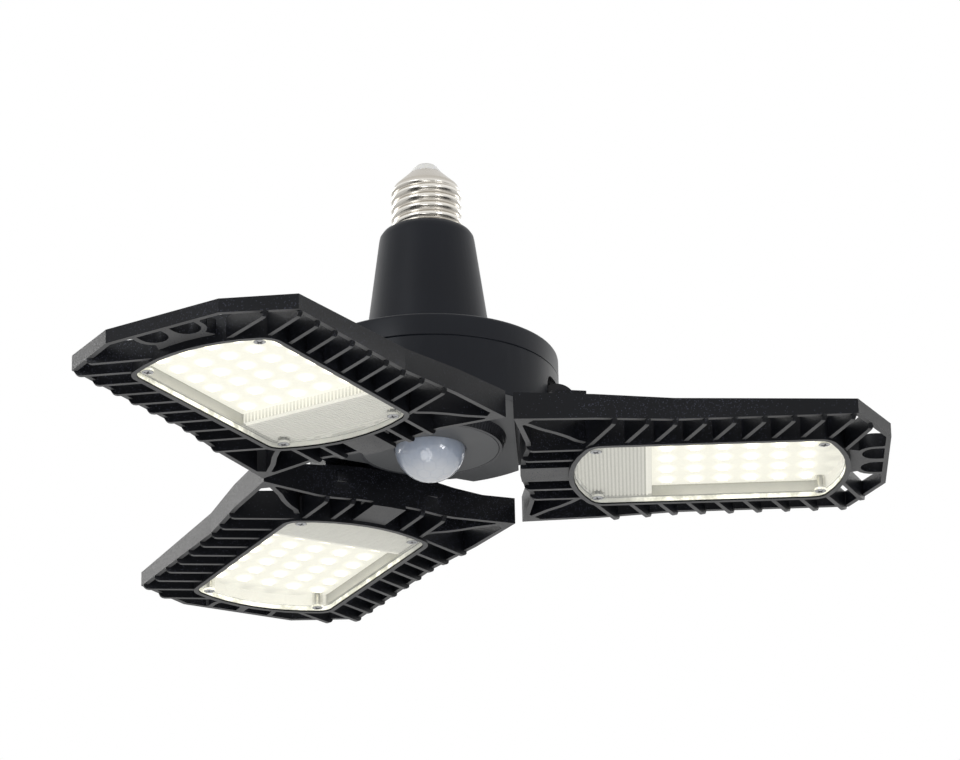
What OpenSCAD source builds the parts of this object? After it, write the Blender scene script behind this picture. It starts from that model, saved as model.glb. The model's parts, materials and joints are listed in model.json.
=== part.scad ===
// Ceiling lamp with a screw base and three folding light panels.
// The origin lies on the lamp's axis, in the plane where the screw shell leaves the neck.
// Panel 1 points along +X; panels 2 and 3 follow at 120 and 240 degrees.

/* [Screw base] */
// Radius over the crests of the screw shell
shell_r = 13.1; // [12.6:0.1:13.4]
// Height of the shell's threaded length
thread_h = 16.6; // [15:0.1:18]
// Distance between two crests of the thread
thread_pitch = 3.63; // [3.2:0.01:4]
// Depth of the thread
thread_depth = 1.1; // [0.6:0.1:1.4]
// Height of the shell's tapered shoulder above the thread
shoulder_h = 6.9; // [5:0.1:9]
// Radius of the shoulder's top edge
shoulder_r = 6.3; // [5.8:0.1:7]
// Height of the white insulator above the shoulder
insulator_h = 2.8; // [2:0.1:4]
// Radius of the centre contact
contact_r = 3.9; // [3:0.1:4.5]

/* [Neck and cap] */
// Height of the neck above the cap's flange
neck_h = 51.5; // [46:0.5:60]
// Outer radius of the neck at its top
neck_top_r = 17.6; // [17:0.1:20]
// Outer radius of the neck at its foot
neck_foot_r = 23.7; // [22:0.1:28]
// Radius of the round shoulder at the neck's top
neck_shoulder = 4.2; // [3:0.1:4.2]
// Outer radius of the cap and the hub
cap_r = 47; // [46:0.5:50]
// Height of the cap's rim
cap_h = 8.6; // [7:0.1:12]
// Radius of the rim's rounded upper edge
cap_edge = 1.4; // [0.6:0.1:2]
// Wall of the neck and the cap
cap_wall = 2; // [1.6:0.1:2.4]
// Height of the spigot inside the screw shell
spigot_h = 9; // [6:0.5:12]

/* [Hub housing] */
// Height of the lower housing, from the seam to its foot
housing_h = 19.4; // [18.5:0.1:24]
// Outer radius of the lower housing at its foot
housing_foot_r = 46; // [45:0.1:47]
// Wall of the lower housing
housing_wall = 2.2; // [1.8:0.1:2.6]
// Height of the lip that centres the cap
lip_h = 2; // [1:0.1:3]
// Distance of each hinge pocket's inner wall from the lamp's axis
pocket_r = 31; // [30:0.1:32]
// Depth of the roof of each hinge pocket below the seam
roof_drop = 3.4; // [3:0.1:4]
// Distance of the housing screws from the lamp's axis
column_r = 40.6; // [40:0.1:41]
// Thickness of the bottom cover
cover_t = 2; // [1.6:0.1:3]

/* [Motion sensor] */
// Height of the sensor ring below the bottom cover
ring_h = 4; // [3.6:0.1:6]
// Radius of the ring's lower edge
ring_r = 26; // [25:0.1:28]
// Radius of the ring's upper edge
ring_top_r = 27.6; // [26.5:0.1:29.5]
// Thickness of the sensor's face plate
plate_t = 1.2; // [0.8:0.1:1.6]
// Radius of the dome lens
dome_r = 12.8; // [11:0.1:14]
// How far the dome stands out below the face plate
dome_drop = 12; // [10:0.1:12.4]
// Wall of the dome lens
dome_wall = 0.8; // [0.6:0.1:1.2]
// Radius of the sensor board
sensor_board_r = 20; // [18:0.5:22]
// Radius of the infrared element's can
element_r = 4.6; // [4:0.1:5]

/* [Hinge] */
// Distance of each hinge axis from the lamp's axis
hinge_r = 46; // [45.5:0.1:47]
// Height of the hinge axis above the housing's foot
hinge_rise = 5; // [4.8:0.1:5.4]
// Height of the hinge axis above the outer face of the panel's lens
hinge_above_lens = 23; // [22.6:0.1:25]
// Radius of the hinge knuckles
knuckle_r = 7.2; // [6.6:0.1:7.4]
// Width of the hub's middle knuckle
hub_knuckle_w = 14; // [13.4:0.1:16]
// Width of each knuckle of the panel's bracket
knuckle_w = 7; // [6:0.1:7.6]
// Radius of the hinge pin
pin_r = 2.5; // [2:0.1:3]
// Radius of the pin's head
pin_head_r = 4; // [3.6:0.1:4.4]
// Thickness of the pin's head and of its nut
pin_head_t = 2.2; // [1.6:0.1:2.4]
// Thickness of each friction washer
washer_t = 0.8; // [0.5:0.1:1]
// Radius of the friction washers
washer_r = 5.6; // [5:0.1:6.4]
// Thickness of the bracket's base plate
bracket_t = 2.5; // [2.2:0.1:2.6]
// Thickness of the casting's cheeks beside the hinge
cheek_t = 3; // [2:0.1:4]
// Height of the cheeks above the casting's back
cheek_h = 13.2; // [10:0.1:13.4]

/* [Panel] */
// Distance of a panel's hub end from the lamp's axis
panel_start = 32.3; // [32:0.1:34]
// Length of a panel from its hub end to its tip
panel_len = 132.2; // [126:0.1:150]
// Width of the panel at its hub end
hub_end_w = 103; // [99:0.5:105]
// Greatest width of the panel
shoulder_w = 100; // [98:0.5:104]
// Distance of the greatest width from the hub end
shoulder_at = 27.7; // [25:0.1:32]
// Width of the panel along its outer half
body_w = 93; // [90:0.5:97]
// Distance from the hub end at which the outer width is reached
body_at = 55.7; // [45:0.1:65]
// Width of the straight tip edge
tip_w = 46; // [40:0.5:50]
// Length of the corners cut off at the tip
tip_cut = 12.5; // [10:0.1:15]
// Distance from the lens to the tip edge
tip_len = 15.5; // [14.5:0.1:20]
// Thickness of the casting's outer band
band_t = 1.8; // [1.4:0.1:2.4]
// Height of the band's lower edge above the lens face
band_low = 2.4; // [1.6:0.1:3]
// Height of the band at the hub end
band_h_hub = 10; // [9.6:0.1:10.4]
// Height of the band at the tip
band_h_tip = 5; // [4.2:0.1:5.6]

/* [Fins] */
// Number of swept fins on each side
fin_count = 9; // [7:1:10]
// Distance of the first fin from the lens's inner end
fin_first = 7; // [6:0.1:8]
// Distance from the first fin to the second
fin_step = 12.4; // [11:0.1:14]
// Distance of the last fin from the lens's outer end
fin_last = 5.6; // [4:0.1:8]
// Thickness of a fin
fin_t = 1.6; // [1.2:0.1:2]
// Angle by which the side fins sweep towards the tip
fin_sweep = 23.7; // [18:0.1:28]
// Height of the fins' lower edges above the lens face
fin_low = 0.5; // [0.2:0.1:1.2]
// Radius of the fins' rounded lower corners
fin_round = 2.5; // [1:0.1:3]
// Thickness of the struts at the hub corners and the tip
strut_t = 1.9; // [1.4:0.1:2.4]

/* [Lens and tray] */
// Distance of the lens from the panel's hub end
lens_setback = 19.2; // [19:0.1:21]
// Width of the lens
lens_w = 56; // [54:0.5:58]
// Radius of the lens's bowed ends
bow_r = 55; // [48:0.5:70]
// Radius of the lens's corners
corner_r = 5.5; // [4:0.1:7]
// Thickness of the lens
lens_t = 1.8; // [1.4:0.1:2]
// Thickness of the tray's rim around the lens
rim_t = 1.8; // [1.4:0.1:2.2]
// How far the rim stands out past the lens
rim_lip = 0.5; // [0.2:0.1:1]
// Depth of the tray from the lens face to its floor
tray_depth = 6.8; // [6.5:0.1:7.2]
// Thickness of the tray's floor
floor_t = 2.5; // [1.8:0.1:2.8]
// Distance of the lens screws from the ends of the lens
lens_screw_in = 8.3; // [8.3:0.1:9]
// Distance of the lens screws from the panel's centre line
lens_screw_y = 23; // [22:0.1:23]
// Radius of the lens screws' shanks
lens_screw_r = 1.05; // [0.9:0.05:1.2]
// Radius of the lens screws' heads
lens_screw_head_r = 2.1; // [1.8:0.1:2.2]

/* [Lighting] */
// Thickness of the light board
board_t = 1; // [0.8:0.1:1.4]
// Thickness of the lens gasket
gasket_t = 0.6; // [0.4:0.1:0.8]
// Width of the gasket and of the reflector's walls
seal_w = 0.9; // [0.7:0.1:1.2]
// Number of columns of light chips along the panel
led_columns = 6; // [4:1:6]
// Number of rows of light chips across the panel
led_rows = 5; // [3:1:5]
// Distance between two rows of chips
led_pitch_y = 10.5; // [9:0.1:10.8]
// Distance of the first column from the lens's inner end
led_first = 33.5; // [32:0.1:36]
// Distance of the last column from the lens's outer end
led_last = 13; // [13:0.1:18]
// Width of a light chip
led_size = 3.5; // [2.8:0.1:4]
// Height of a light chip
led_t = 0.7; // [0.5:0.1:1]
// Length of the ribbed wiring cover, from the lens's inner end
cover_len = 28; // [25:0.1:29]
// Distance between two ribs of the wiring cover
rib_pitch = 1.35; // [1.2:0.05:2]
// Height of the ribs of the wiring cover
rib_h = 0.4; // [0.2:0.1:0.5]

/* [Hidden] */
$fn = 64;
panel_count = 3;
panels = [1:panel_count];
panel_step = 360 / panel_count;

// Clearances
slip = 0.2;        // pieces that drop into a housing
bore_gap = 0.05;   // round parts in their bores
pin_end_gap = 0.5; // ends of the hinge pin to the cheeks
slot_gap = 0.15;   // each side of a board in its guides
trim = 1;          // overlap of shapes that are joined or cut

// Levels of the hub, from the screw shell down
z_flange = -neck_h;
z_seam = z_flange - cap_h;
z_foot = z_seam - housing_h;
z_cover = z_foot - cover_t;
z_face = z_cover - ring_h;
z_hinge = z_foot + hinge_rise;
z_lens = z_hinge - hinge_above_lens;

// Screw base
shell_wall = 0.5;
groove_w = 2.7;    // width of a thread groove at the crests
groove_root_w = 0.7;
shell_inner_r = shell_r - thread_depth - shell_wall;
shoulder_foot_r = shell_r - 1.3;
shoulder_z = thread_h + 1.7;
shell_top = thread_h + shoulder_h;
shell_hole_r = shoulder_r - 0.8;
insulator_plug = 3;
rivet_r = 1.2;
contact_h = 1;
spigot_r = shell_inner_r - slip;
spigot_wall = 1.8;

// Hub
seam_chamfer = 0.3;
foot_fillet = 1.8;
lip_r = cap_r - cap_wall - slip;
lip_t = 1.5;
pocket_wall = 2;
roof_t = 2;
roof_z = z_seam - roof_drop - roof_t / 2;
column_outer_r = 4.4;
column_head_r = 3;
column_head_t = 2.4;
column_seat = 4;   // plastic between the screw head and the seam
column_screw_r = 1.5;
boss_r = 3.4;
boss_thread = 6;
screw_turn = panel_step / 2;
arc_steps = 4;

// Sensor
ring_ledge_w = 1.4;
plate_r = ring_r - 1.2;
dome_flange = 1.7;
dome_flange_t = 1;
dome_opening_r = dome_r - 0.8;
board_post_r = 1.6;
board_post_h = 2;
board_post_at = sensor_board_r - 3.5;
sensor_board_t = 1.2;
element_h = 4.2;

// Driver board in the neck
driver_w = 29;
driver_t = 1.6;
driver_top = -cap_wall - 1.2;
driver_h = 44;
guide_w = 1.4;
guide_in = 1.2;    // how deep the board sits in its guides
solder = 0.1;      // how deep the parts on a board sit in it

// Hinge, in the panel's frame
bracket_w = 2 * (hub_knuckle_w / 2 + washer_t + knuckle_w);
pin_span = bracket_w + 2 * pin_head_t;
window_w = pin_span + 2 * pin_end_gap;
cheek_in = pin_span / 2 + pin_end_gap;
pad_top = band_low + band_h_hub;
pad_t = 3.8;
pad_setback = 1.5;
pad_past_hinge = 11;
pad_start = panel_start + pad_setback;
pad_end = hinge_r + pad_past_hinge;
pad_w = 2 * (cheek_in + cheek_t);
cheek_start = sqrt(pow(cap_r, 2) - pow(cheek_in, 2)) + 2 * slip;
cheek_slope = 2;
cheek_fall = 0.9;  // how far a cheek's top drops towards the tip
bracket_before_hinge = 8;
bracket_margin = 1;
bracket_top = pad_top + bracket_t;
bracket_start = hinge_r - bracket_before_hinge;
bracket_end = pad_end - bracket_margin;
arm_setback = 1;
screw_before_hinge = 6;
screw_past_hinge = 6.6;
bracket_screw_x = [hinge_r - screw_before_hinge, hinge_r + screw_past_hinge];
bracket_screw_y = 4.8;
bracket_screw_r = 1.4;
bracket_head_r = 2.6;
bracket_head_t = 1.4;
bracket_screw_len = 7;   // depth of the screw's hole in the casting
bracket_shank = 5;       // length of the screw's shank
bracket_boss_r = 3;
washer_gap = 0.1;
nut_r = 4.2;
hinge = [hinge_r, hinge_above_lens];

// Panel
tip_x = panel_start + panel_len;
lens_x0 = panel_start + lens_setback;
lens_x1 = tip_x - tip_len;
lens_len = lens_x1 - lens_x0;
fin_pitch = (lens_len - fin_first - fin_step - fin_last) / (fin_count - 2);
led_pitch_x = (lens_len - led_first - led_last) / (led_columns - 1);
tray_grow = slip + rim_t;
tray_back = tray_depth + floor_t;
tray_y = lens_w / 2 + tray_grow;
tray_x0 = lens_x0 - tray_grow;
tray_x1 = lens_x1 + tray_grow;
hub_fin_y = [14.2, 24];
hub_block_w = 13.2;
hub_block_low = 0.9;
end_dip = 2.7;     // how far the hub end is hollowed beside the hinge
wall_rise = 2.6;   // how far the hub end's wall rises beside the hinge
wall_rise_end = hub_end_w / 2 - 6;
fin_root = 4;      // how far the fins reach into the tray's wall
web_spread = 12.6; // distance of the outer tip struts from the centre line
web_r = 5;         // radius of the windows' round ends
web_flat = 3;      // length of the windows' straight sides
web_flare = 0.8;   // fillet between the outer struts and the band
last_fin_share = 0.6; // where the last fin meets the cut corner, from the tip edge
board_z = tray_depth - board_t;
seal_z = lens_t + gasket_t;
boss_post_r = 2;
lens_bow_steps = 8;
corner_steps = 5;
lens_screw_tip = tray_back + 0.4;
lens_head_t = 0.9;
cover_plate_t = 0.8;
rib_w = 0.7;
panel_screws = [for (x = [lens_x0 + lens_screw_in, lens_x1 - lens_screw_in], s = [-1, 1])
    [x, s * lens_screw_y]];

// Half of the panel's outline, from the middle of the hub end to the tip
half_outline = [
    [panel_start, 0],
    [panel_start + 0.7, 12],
    [panel_start + end_dip, 22],
    [panel_start + end_dip, 28],
    [panel_start - 0.8, hub_end_w / 2],
    [panel_start + shoulder_at, shoulder_w / 2],
    [panel_start + body_at, body_w / 2],
    [tip_x - tip_cut, body_w / 2],
    [tip_x, tip_w / 2]];
outline = concat([for (q = half_outline) [q[0], -q[1]]],
                 [for (i = [len(half_outline) - 1:-1:1]) half_outline[i]]);

// Points on an arc about c, from angle a, which is left out, to angle b
function arc(c, r, a, b, n) =
    [for (i = [1:n]) let (t = a + (b - a) * i / n) c + r * [cos(t), sin(t)]];

// Outward unit normal of the edge from p to q of an outline that runs anticlockwise
function normal(p, q) = let (d = q - p) [d[1], -d[0]] / norm(d);

// An anticlockwise outline moved inwards by t
function inset(pts, t) =
    [for (i = [0:len(pts) - 1])
        let (n = len(pts),
             a = normal(pts[(i + n - 1) % n], pts[i]),
             b = normal(pts[i], pts[(i + 1) % n]))
        pts[i] - t * (a + b) / (1 + a * b)];

// A band of width w along the points of an open line
function ribbon(pts, w) =
    let (last = len(pts) - 1,
         side = [for (i = [0:last])
             let (a = normal(pts[max(i - 1, 0)], pts[max(i, 1)]),
                  b = normal(pts[min(i, last - 1)], pts[min(i + 1, last)]))
             (a + b) / (1 + a * b) * w / 2])
    concat([for (i = [0:last]) pts[i] + side[i]],
           [for (i = [last:-1:0]) pts[i] - side[i]]);

// The lens's outline grown by g: bowed ends, straight sides and round corners
function lens_outline(g) =
    let (y = lens_w / 2 - corner_r,
         x = sqrt(pow(bow_r - corner_r, 2) - y * y),
         a = atan2(y, x),
         near = lens_x0 + bow_r,
         far = lens_x1 - bow_r,
         r = bow_r + g,
         c = corner_r + g)
    concat(arc([far, 0], r, -a, a, lens_bow_steps),
           arc([far + x, y], c, a, 90, corner_steps),
           arc([near - x, y], c, 90, 180 - a, corner_steps),
           arc([near, 0], r, 180 - a, 180 + a, lens_bow_steps),
           arc([near - x, -y], c, 180 + a, 270, corner_steps),
           arc([far + x, -y], c, 270, 360 - a, corner_steps));

// Point where a line from p touches the circle about c; side is 1 or -1
function touch(p, c, r, side) =
    let (d = p - c, t = atan2(d[1], d[0]) + side * acos(r / norm(d)))
    c + r * [cos(t), sin(t)];

// Half width of the panel at the distance x from the lamp's axis
function half_w(x) = lookup(x, [for (i = [4:7]) half_outline[i]]);

// Distance of side fin k's inner end from the lamp's axis
function fin_x(k) = lens_x0 + fin_first + (k == 0 ? 0 : fin_step + (k - 1) * fin_pitch);

module at_panel(p) rotate([0, 0, panel_step * (p - 1)]) translate([0, 0, z_lens]) children();

module both_sides() for (m = [0, 1]) mirror([0, m, 0]) children();

// Turns a profile drawn as [distance from the axis, height] upright, w wide about the centre line
module across(w) rotate([90, 0, 0]) linear_extrude(w, center = true) children();

// Screw base

module screw_shell() {
    grooves = floor((thread_h - groove_w / 2) / thread_pitch);
    outer = [for (k = [0:grooves - 1])
        let (z = groove_w + k * thread_pitch)
        each [[shell_r, z - groove_w / 2], [shell_r - thread_depth, z - groove_root_w / 2],
              [shell_r - thread_depth, z + groove_root_w / 2], [shell_r, z + groove_w / 2]]];
    color("#c9c8c4")
        rotate_extrude()
            polygon(concat(
                [[shell_inner_r, 0], [shell_r, 0]],
                outer,
                [[shell_r, thread_h], [shoulder_foot_r, shoulder_z], [shoulder_r, shell_top],
                 [shell_hole_r, shell_top], [shell_hole_r, shell_top - 1],
                 [shoulder_foot_r - 1.2, shoulder_z - 0.6], [shell_inner_r, shoulder_z - 2]]));
}

module base_insulator()
    color("#f0efea")
        rotate_extrude()
            polygon([[rivet_r + bore_gap, shell_top - insulator_plug],
                     [shell_hole_r - bore_gap, shell_top - insulator_plug],
                     [shell_hole_r - bore_gap, shell_top], [shoulder_r, shell_top],
                     [contact_r + 0.4, shell_top + insulator_h],
                     [rivet_r + bore_gap, shell_top + insulator_h]]);

module centre_contact() {
    z = shell_top + insulator_h;
    color("#b9b6ae")
        rotate_extrude()
            polygon([[0, shell_top - insulator_plug - 1], [rivet_r, shell_top - insulator_plug - 1],
                     [rivet_r, z], [contact_r, z], [contact_r - 0.3, z + 0.6 * contact_h],
                     [contact_r - 1.5, z + 0.9 * contact_h], [0, z + contact_h]]);
}

// Hub

module neck_profile()
    polygon(concat(
        [[cap_r - seam_chamfer, z_seam], [cap_r, z_seam + seam_chamfer], [cap_r, z_flange - cap_edge]],
        arc([cap_r - cap_edge, z_flange - cap_edge], cap_edge, 0, 90, arc_steps),
        [[neck_foot_r + foot_fillet, z_flange]],
        arc([neck_foot_r + foot_fillet, z_flange + foot_fillet], foot_fillet, 270, 180, arc_steps),
        [[neck_top_r, -neck_shoulder]],
        arc([neck_top_r - neck_shoulder, -neck_shoulder], neck_shoulder, 0, 90, arc_steps),
        [[spigot_r, 0], [spigot_r, spigot_h], [spigot_r - spigot_wall, spigot_h],
         [spigot_r - spigot_wall, -cap_wall], [neck_top_r - cap_wall - 2, -cap_wall],
         [neck_top_r - cap_wall, -cap_wall - 2], [neck_foot_r - cap_wall, z_flange - cap_wall],
         [cap_r - cap_wall, z_flange - cap_wall], [cap_r - cap_wall, z_seam]]));

// Rails inside the neck that hold the driver board by its long edges
module board_guides() {
    gap = driver_t / 2 + slot_gap;
    intersection() {
        rotate_extrude()
            polygon([[0, driver_top - driver_h], [neck_foot_r - cap_wall / 2, z_flange],
                     [neck_top_r - cap_wall / 2, -cap_wall - 2], [0, -cap_wall - 2]]);
        for (m = [0, 1])
            mirror([m, 0, 0])
                both_sides()
                    translate([driver_w / 2 - guide_in, gap, driver_top - driver_h + 2])
                        cube([neck_foot_r, guide_w, driver_h - 6]);
    }
}

module neck_cap()
    color("#1f2125")
        difference() {
            union() {
                rotate_extrude() neck_profile();
                board_guides();
                for (p = panels)
                    rotate([0, 0, panel_step * p + screw_turn])
                        translate([column_r, 0, z_seam])
                            cylinder(r = boss_r, h = cap_h - cap_wall + trim);
            }
            for (p = panels)
                rotate([0, 0, panel_step * p + screw_turn])
                    translate([column_r, 0, z_seam - trim])
                        cylinder(r = column_screw_r + bore_gap, h = boss_thread + trim);
        }

module housing_ring()
    rotate_extrude()
        polygon([[housing_foot_r, z_foot], [cap_r, z_seam - seam_chamfer], [cap_r - seam_chamfer, z_seam],
                 [lip_r, z_seam], [lip_r, z_seam + lip_h], [lip_r - lip_t, z_seam + lip_h],
                 [lip_r - lip_t, z_seam - lip_h], [cap_r - housing_wall, z_seam - 2 * lip_h],
                 [housing_foot_r - housing_wall, z_foot]]);

// Inner wall and roof of one hinge pocket, inside the housing's wall
module pocket() {
    reach = 2 * cap_r;
    intersection() {
        rotate_extrude()
            polygon([[0, z_foot], [housing_foot_r - housing_wall / 2, z_foot],
                     [cap_r - housing_wall / 2, z_seam], [0, z_seam]]);
        union() {
            translate([pocket_r, -cap_r, z_foot])
                cube([pocket_wall, reach, roof_z + roof_t - z_foot]);
            translate([pocket_r, -cap_r, roof_z]) cube([reach, reach, roof_t]);
        }
    }
}

// Opening in the housing's wall for one hinge, with rounded upper corners
module pocket_window() {
    half = window_w / 2;
    corner = 3;
    low = z_foot - trim;
    translate([pocket_r + pocket_wall, 0, 0])
        rotate([90, 0, 90])
            linear_extrude(cap_r)
                polygon(concat(
                    [[-half, low], [half, low], [half, roof_z - corner]],
                    arc([half - corner, roof_z - corner], corner, 0, 90, arc_steps),
                    [[corner - half, roof_z]],
                    arc([corner - half, roof_z - corner], corner, 90, 180, arc_steps)));
}

// Middle knuckle of a hinge on its arm
module hub_knuckle()
    translate([0, 0, z_hinge]) {
        across(hub_knuckle_w) translate([hinge_r, 0]) circle(knuckle_r);
        across(hub_knuckle_w)
            translate([pocket_r + pocket_wall / 2, -knuckle_r])
                square([hinge_r - pocket_r - pocket_wall / 2, 2 * knuckle_r]);
    }

module lower_housing()
    color("#1f2125")
        difference() {
            union() {
                difference() {
                    union() {
                        housing_ring();
                        for (p = panels) rotate([0, 0, panel_step * (p - 1)]) pocket();
                        for (p = panels)
                            rotate([0, 0, panel_step * p + screw_turn])
                                translate([column_r, 0, z_foot + trim])
                                    cylinder(r = column_outer_r, h = housing_h - trim);
                    }
                    for (p = panels) rotate([0, 0, panel_step * (p - 1)]) pocket_window();
                }
                for (p = panels) rotate([0, 0, panel_step * (p - 1)]) hub_knuckle();
            }
            for (p = panels) {
                rotate([0, 0, panel_step * (p - 1)])
                    translate([0, 0, z_hinge])
                        across(hub_knuckle_w + 2 * trim)
                            translate([hinge_r, 0]) circle(pin_r + bore_gap);
                rotate([0, 0, panel_step * p + screw_turn])
                    translate([column_r, 0, 0]) {
                        translate([0, 0, z_foot]) cylinder(r = column_screw_r + slip, h = housing_h + trim);
                        translate([0, 0, z_foot])
                            cylinder(r = column_head_r + slip, h = housing_h - column_seat);
                        translate([0, 0, z_seam]) cylinder(r = boss_r + 2 * slip, h = lip_h + trim);
                    }
            }
        }

module housing_screws()
    color("#8d8f92")
        for (p = panels)
            rotate([0, 0, panel_step * p + screw_turn])
                translate([column_r, 0, z_seam - column_seat]) {
                    translate([0, 0, -column_head_t]) cylinder(r = column_head_r, h = column_head_t);
                    cylinder(r = column_screw_r, h = column_seat + boss_thread - 0.5);
                }

module bottom_cover() {
    tab_turn = 11.5;
    tab_t = 1.6;
    tab_w = 4;
    tab_h = 3.5;
    color("#3a3d42")
        union() {
            translate([0, 0, z_cover])
                linear_extrude(cover_t)
                    difference() {
                        circle(housing_foot_r);
                        circle(dome_opening_r);
                        for (p = panels)
                            rotate([0, 0, panel_step * (p - 1)])
                                translate([pocket_r, -cap_r]) square(2 * cap_r);
                    }
            translate([0, 0, z_face + plate_t + dome_flange_t])
                linear_extrude(ring_h - plate_t - dome_flange_t)
                    difference() {
                        circle(dome_r + dome_flange);
                        circle(dome_opening_r);
                    }
            for (p = panels)
                rotate([0, 0, panel_step * p + screw_turn])
                    translate([board_post_at, 0, z_foot - trim])
                        cylinder(r = board_post_r, h = board_post_h + trim);
            for (p = panels, s = [-1, 1])
                rotate([0, 0, panel_step * p + screw_turn + s * tab_turn])
                    translate([housing_foot_r - housing_wall - 2 * slip - tab_t, -tab_w / 2, z_foot - trim])
                        cube([tab_t, tab_w, tab_h + trim]);
        }
}

// Motion sensor

module sensor_ring()
    color("#2b2d31")
        rotate_extrude()
            polygon([[ring_r, z_face], [ring_top_r, z_cover], [plate_r - ring_ledge_w, z_cover],
                     [plate_r - ring_ledge_w, z_face + plate_t], [plate_r + slip / 2, z_face + plate_t],
                     [plate_r + slip / 2, z_face]]);

module sensor_plate()
    color("#4a4d52")
        translate([0, 0, z_face])
            linear_extrude(plate_t)
                difference() {
                    circle(plate_r);
                    circle(dome_r + slip);
                }

module sensor_dome() {
    flange_z = z_face + plate_t;
    centre_z = z_face - dome_drop + dome_r;
    color("#eef0f2")
        difference() {
            union() {
                translate([0, 0, centre_z]) sphere(dome_r);
                translate([0, 0, centre_z]) cylinder(r = dome_r, h = flange_z + dome_flange_t - centre_z);
                translate([0, 0, flange_z]) cylinder(r = dome_r + dome_flange, h = dome_flange_t);
            }
            translate([0, 0, centre_z]) sphere(dome_r - dome_wall);
            translate([0, 0, centre_z]) cylinder(r = dome_r - dome_wall, h = dome_r);
            translate([0, 0, flange_z + dome_flange_t]) cylinder(r = 2 * dome_r, h = dome_r);
        }
}

module infrared_element()
    color("#c9ccd0")
        translate([0, 0, z_foot + board_post_h]) {
            translate([0, 0, -element_h]) cylinder(r = element_r, h = element_h);
            translate([0, 0, -0.6]) cylinder(r = element_r + 0.5, h = 0.6);
        }

// Board with a chip, a connector, a trimmer and two small parts, sized by the board's radius
module sensor_board() {
    r = sensor_board_r;
    color("#2c6b3f")
        translate([0, 0, z_foot + board_post_h]) {
            cylinder(r = r, h = sensor_board_t);
            translate([0, 0, sensor_board_t - solder]) {
                translate([-0.2 * r, -0.15 * r, 0]) cube([0.3 * r, 0.25 * r, 0.08 * r]);
                translate([0.3 * r, 0.15 * r, 0]) cube([0.35 * r, 0.2 * r, 0.25 * r]);
                translate([-0.55 * r, 0.3 * r, 0]) cylinder(r = 0.12 * r, h = 0.25 * r);
                translate([0.35 * r, -0.4 * r, 0]) cube([0.16 * r, 0.08 * r, 0.05 * r]);
                translate([-0.45 * r, -0.45 * r, 0]) cube([0.22 * r, 0.11 * r, 0.06 * r]);
            }
        }
}

// Power board: transformer, film capacitor and chip on one side, and on the other two
// electrolytic capacitors and a bridge rectifier, all sized by the board's width
module driver_board() {
    w = driver_w;
    can_r = 0.17 * w;
    small_can_r = 0.1 * w;
    face = driver_t / 2 - solder;
    color("#6a5a32")
        translate([0, 0, driver_top - driver_h])
            union() {
                translate([-w / 2, -driver_t / 2, 0]) cube([w, driver_t, driver_h]);
                translate([-0.27 * w, face, 0.17 * w]) cube([0.54 * w, 0.34 * w, 0.44 * w]);
                translate([-0.2 * w, face, 0.75 * w]) cube([0.17 * w, 0.2 * w, 0.34 * w]);
                translate([0.14 * w, face, 0.72 * w]) cube([0.17 * w, 0.07 * w, 0.27 * w]);
                translate([-0.17 * w, -face - can_r, 0.2 * w]) cylinder(r = can_r, h = 0.62 * w);
                translate([0.2 * w, -face - small_can_r, 0.27 * w])
                    cylinder(r = small_can_r, h = 0.38 * w);
                translate([-0.1 * w, -face - 0.14 * w, 1.03 * w]) cube([0.24 * w, 0.14 * w, 0.17 * w]);
            }
}

// Panel casting

// Upright fin from a to b, rounded at its lower corner at b
module fin(a, b) {
    d = b - a;
    len = norm(d);
    top = pad_top + trim;
    translate([a[0], a[1], 0])
        rotate([90, 0, atan2(d[1], d[0])])
            linear_extrude(fin_t, center = true)
                polygon(concat(
                    [[0, top], [0, fin_low], [len - fin_round, fin_low]],
                    arc([len - fin_round, fin_low + fin_round], fin_round, -90, 0, arc_steps),
                    [[len + trim, fin_low + fin_round], [len + trim, top]]));
}

// Space that the fins and the band fill: the outline, thinning from the hub end to the tip
module envelope()
    intersection() {
        translate([0, 0, -trim]) linear_extrude(pad_top + 2 * trim) polygon(outline);
        across(2 * shoulder_w)
            polygon([[panel_start - trim, -trim], [tip_x + trim, -trim],
                     [tip_x + trim, band_low + band_h_tip], [tip_x, band_low + band_h_tip],
                     [panel_start, pad_top], [panel_start - trim, pad_top]]);
    }

module band()
    translate([0, 0, band_low])
        linear_extrude(pad_top)
            difference() {
                translate([panel_start - trim, -shoulder_w]) square([tip_x, 2 * shoulder_w]);
                polygon(inset(outline, band_t));
            }

// Upper part of the wall at the hub end, which rises from the corners to the hinge
module wall_top()
    intersection() {
        translate([0, 0, pad_top - trim])
            linear_extrude(trim + wall_rise)
                difference() {
                    polygon(outline);
                    polygon(inset(outline, band_t));
                }
        translate([panel_start - trim, 0, pad_top])
            rotate([90, 0, 90])
                linear_extrude(trim + end_dip + band_t)
                    polygon([[-wall_rise_end, -trim], [wall_rise_end, -trim], [pad_w / 2, wall_rise],
                             [-pad_w / 2, wall_rise]]);
    }

module side_fins()
    for (k = [0:fin_count - 1]) {
        x = fin_x(k);
        reach = half_w(x + (body_w / 2 - tray_y) * tan(fin_sweep));
        fin([x - fin_root * tan(fin_sweep), tray_y - fin_root],
            [x + (reach - tray_y) * tan(fin_sweep), reach]);
    }

// Low ribs across the back of the tray, in line with the side fins
module back_ribs()
    for (k = [0:fin_count - 1])
        if (fin_x(k) < panel_start + (pad_top - tray_back) / (band_h_hub - band_h_tip)
                       * (tip_x - panel_start) - fin_pitch)
            translate([fin_x(k) - fin_t / 2, -tray_y, tray_back - trim])
                cube([fin_t, 2 * tray_y, pad_top]);

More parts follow.
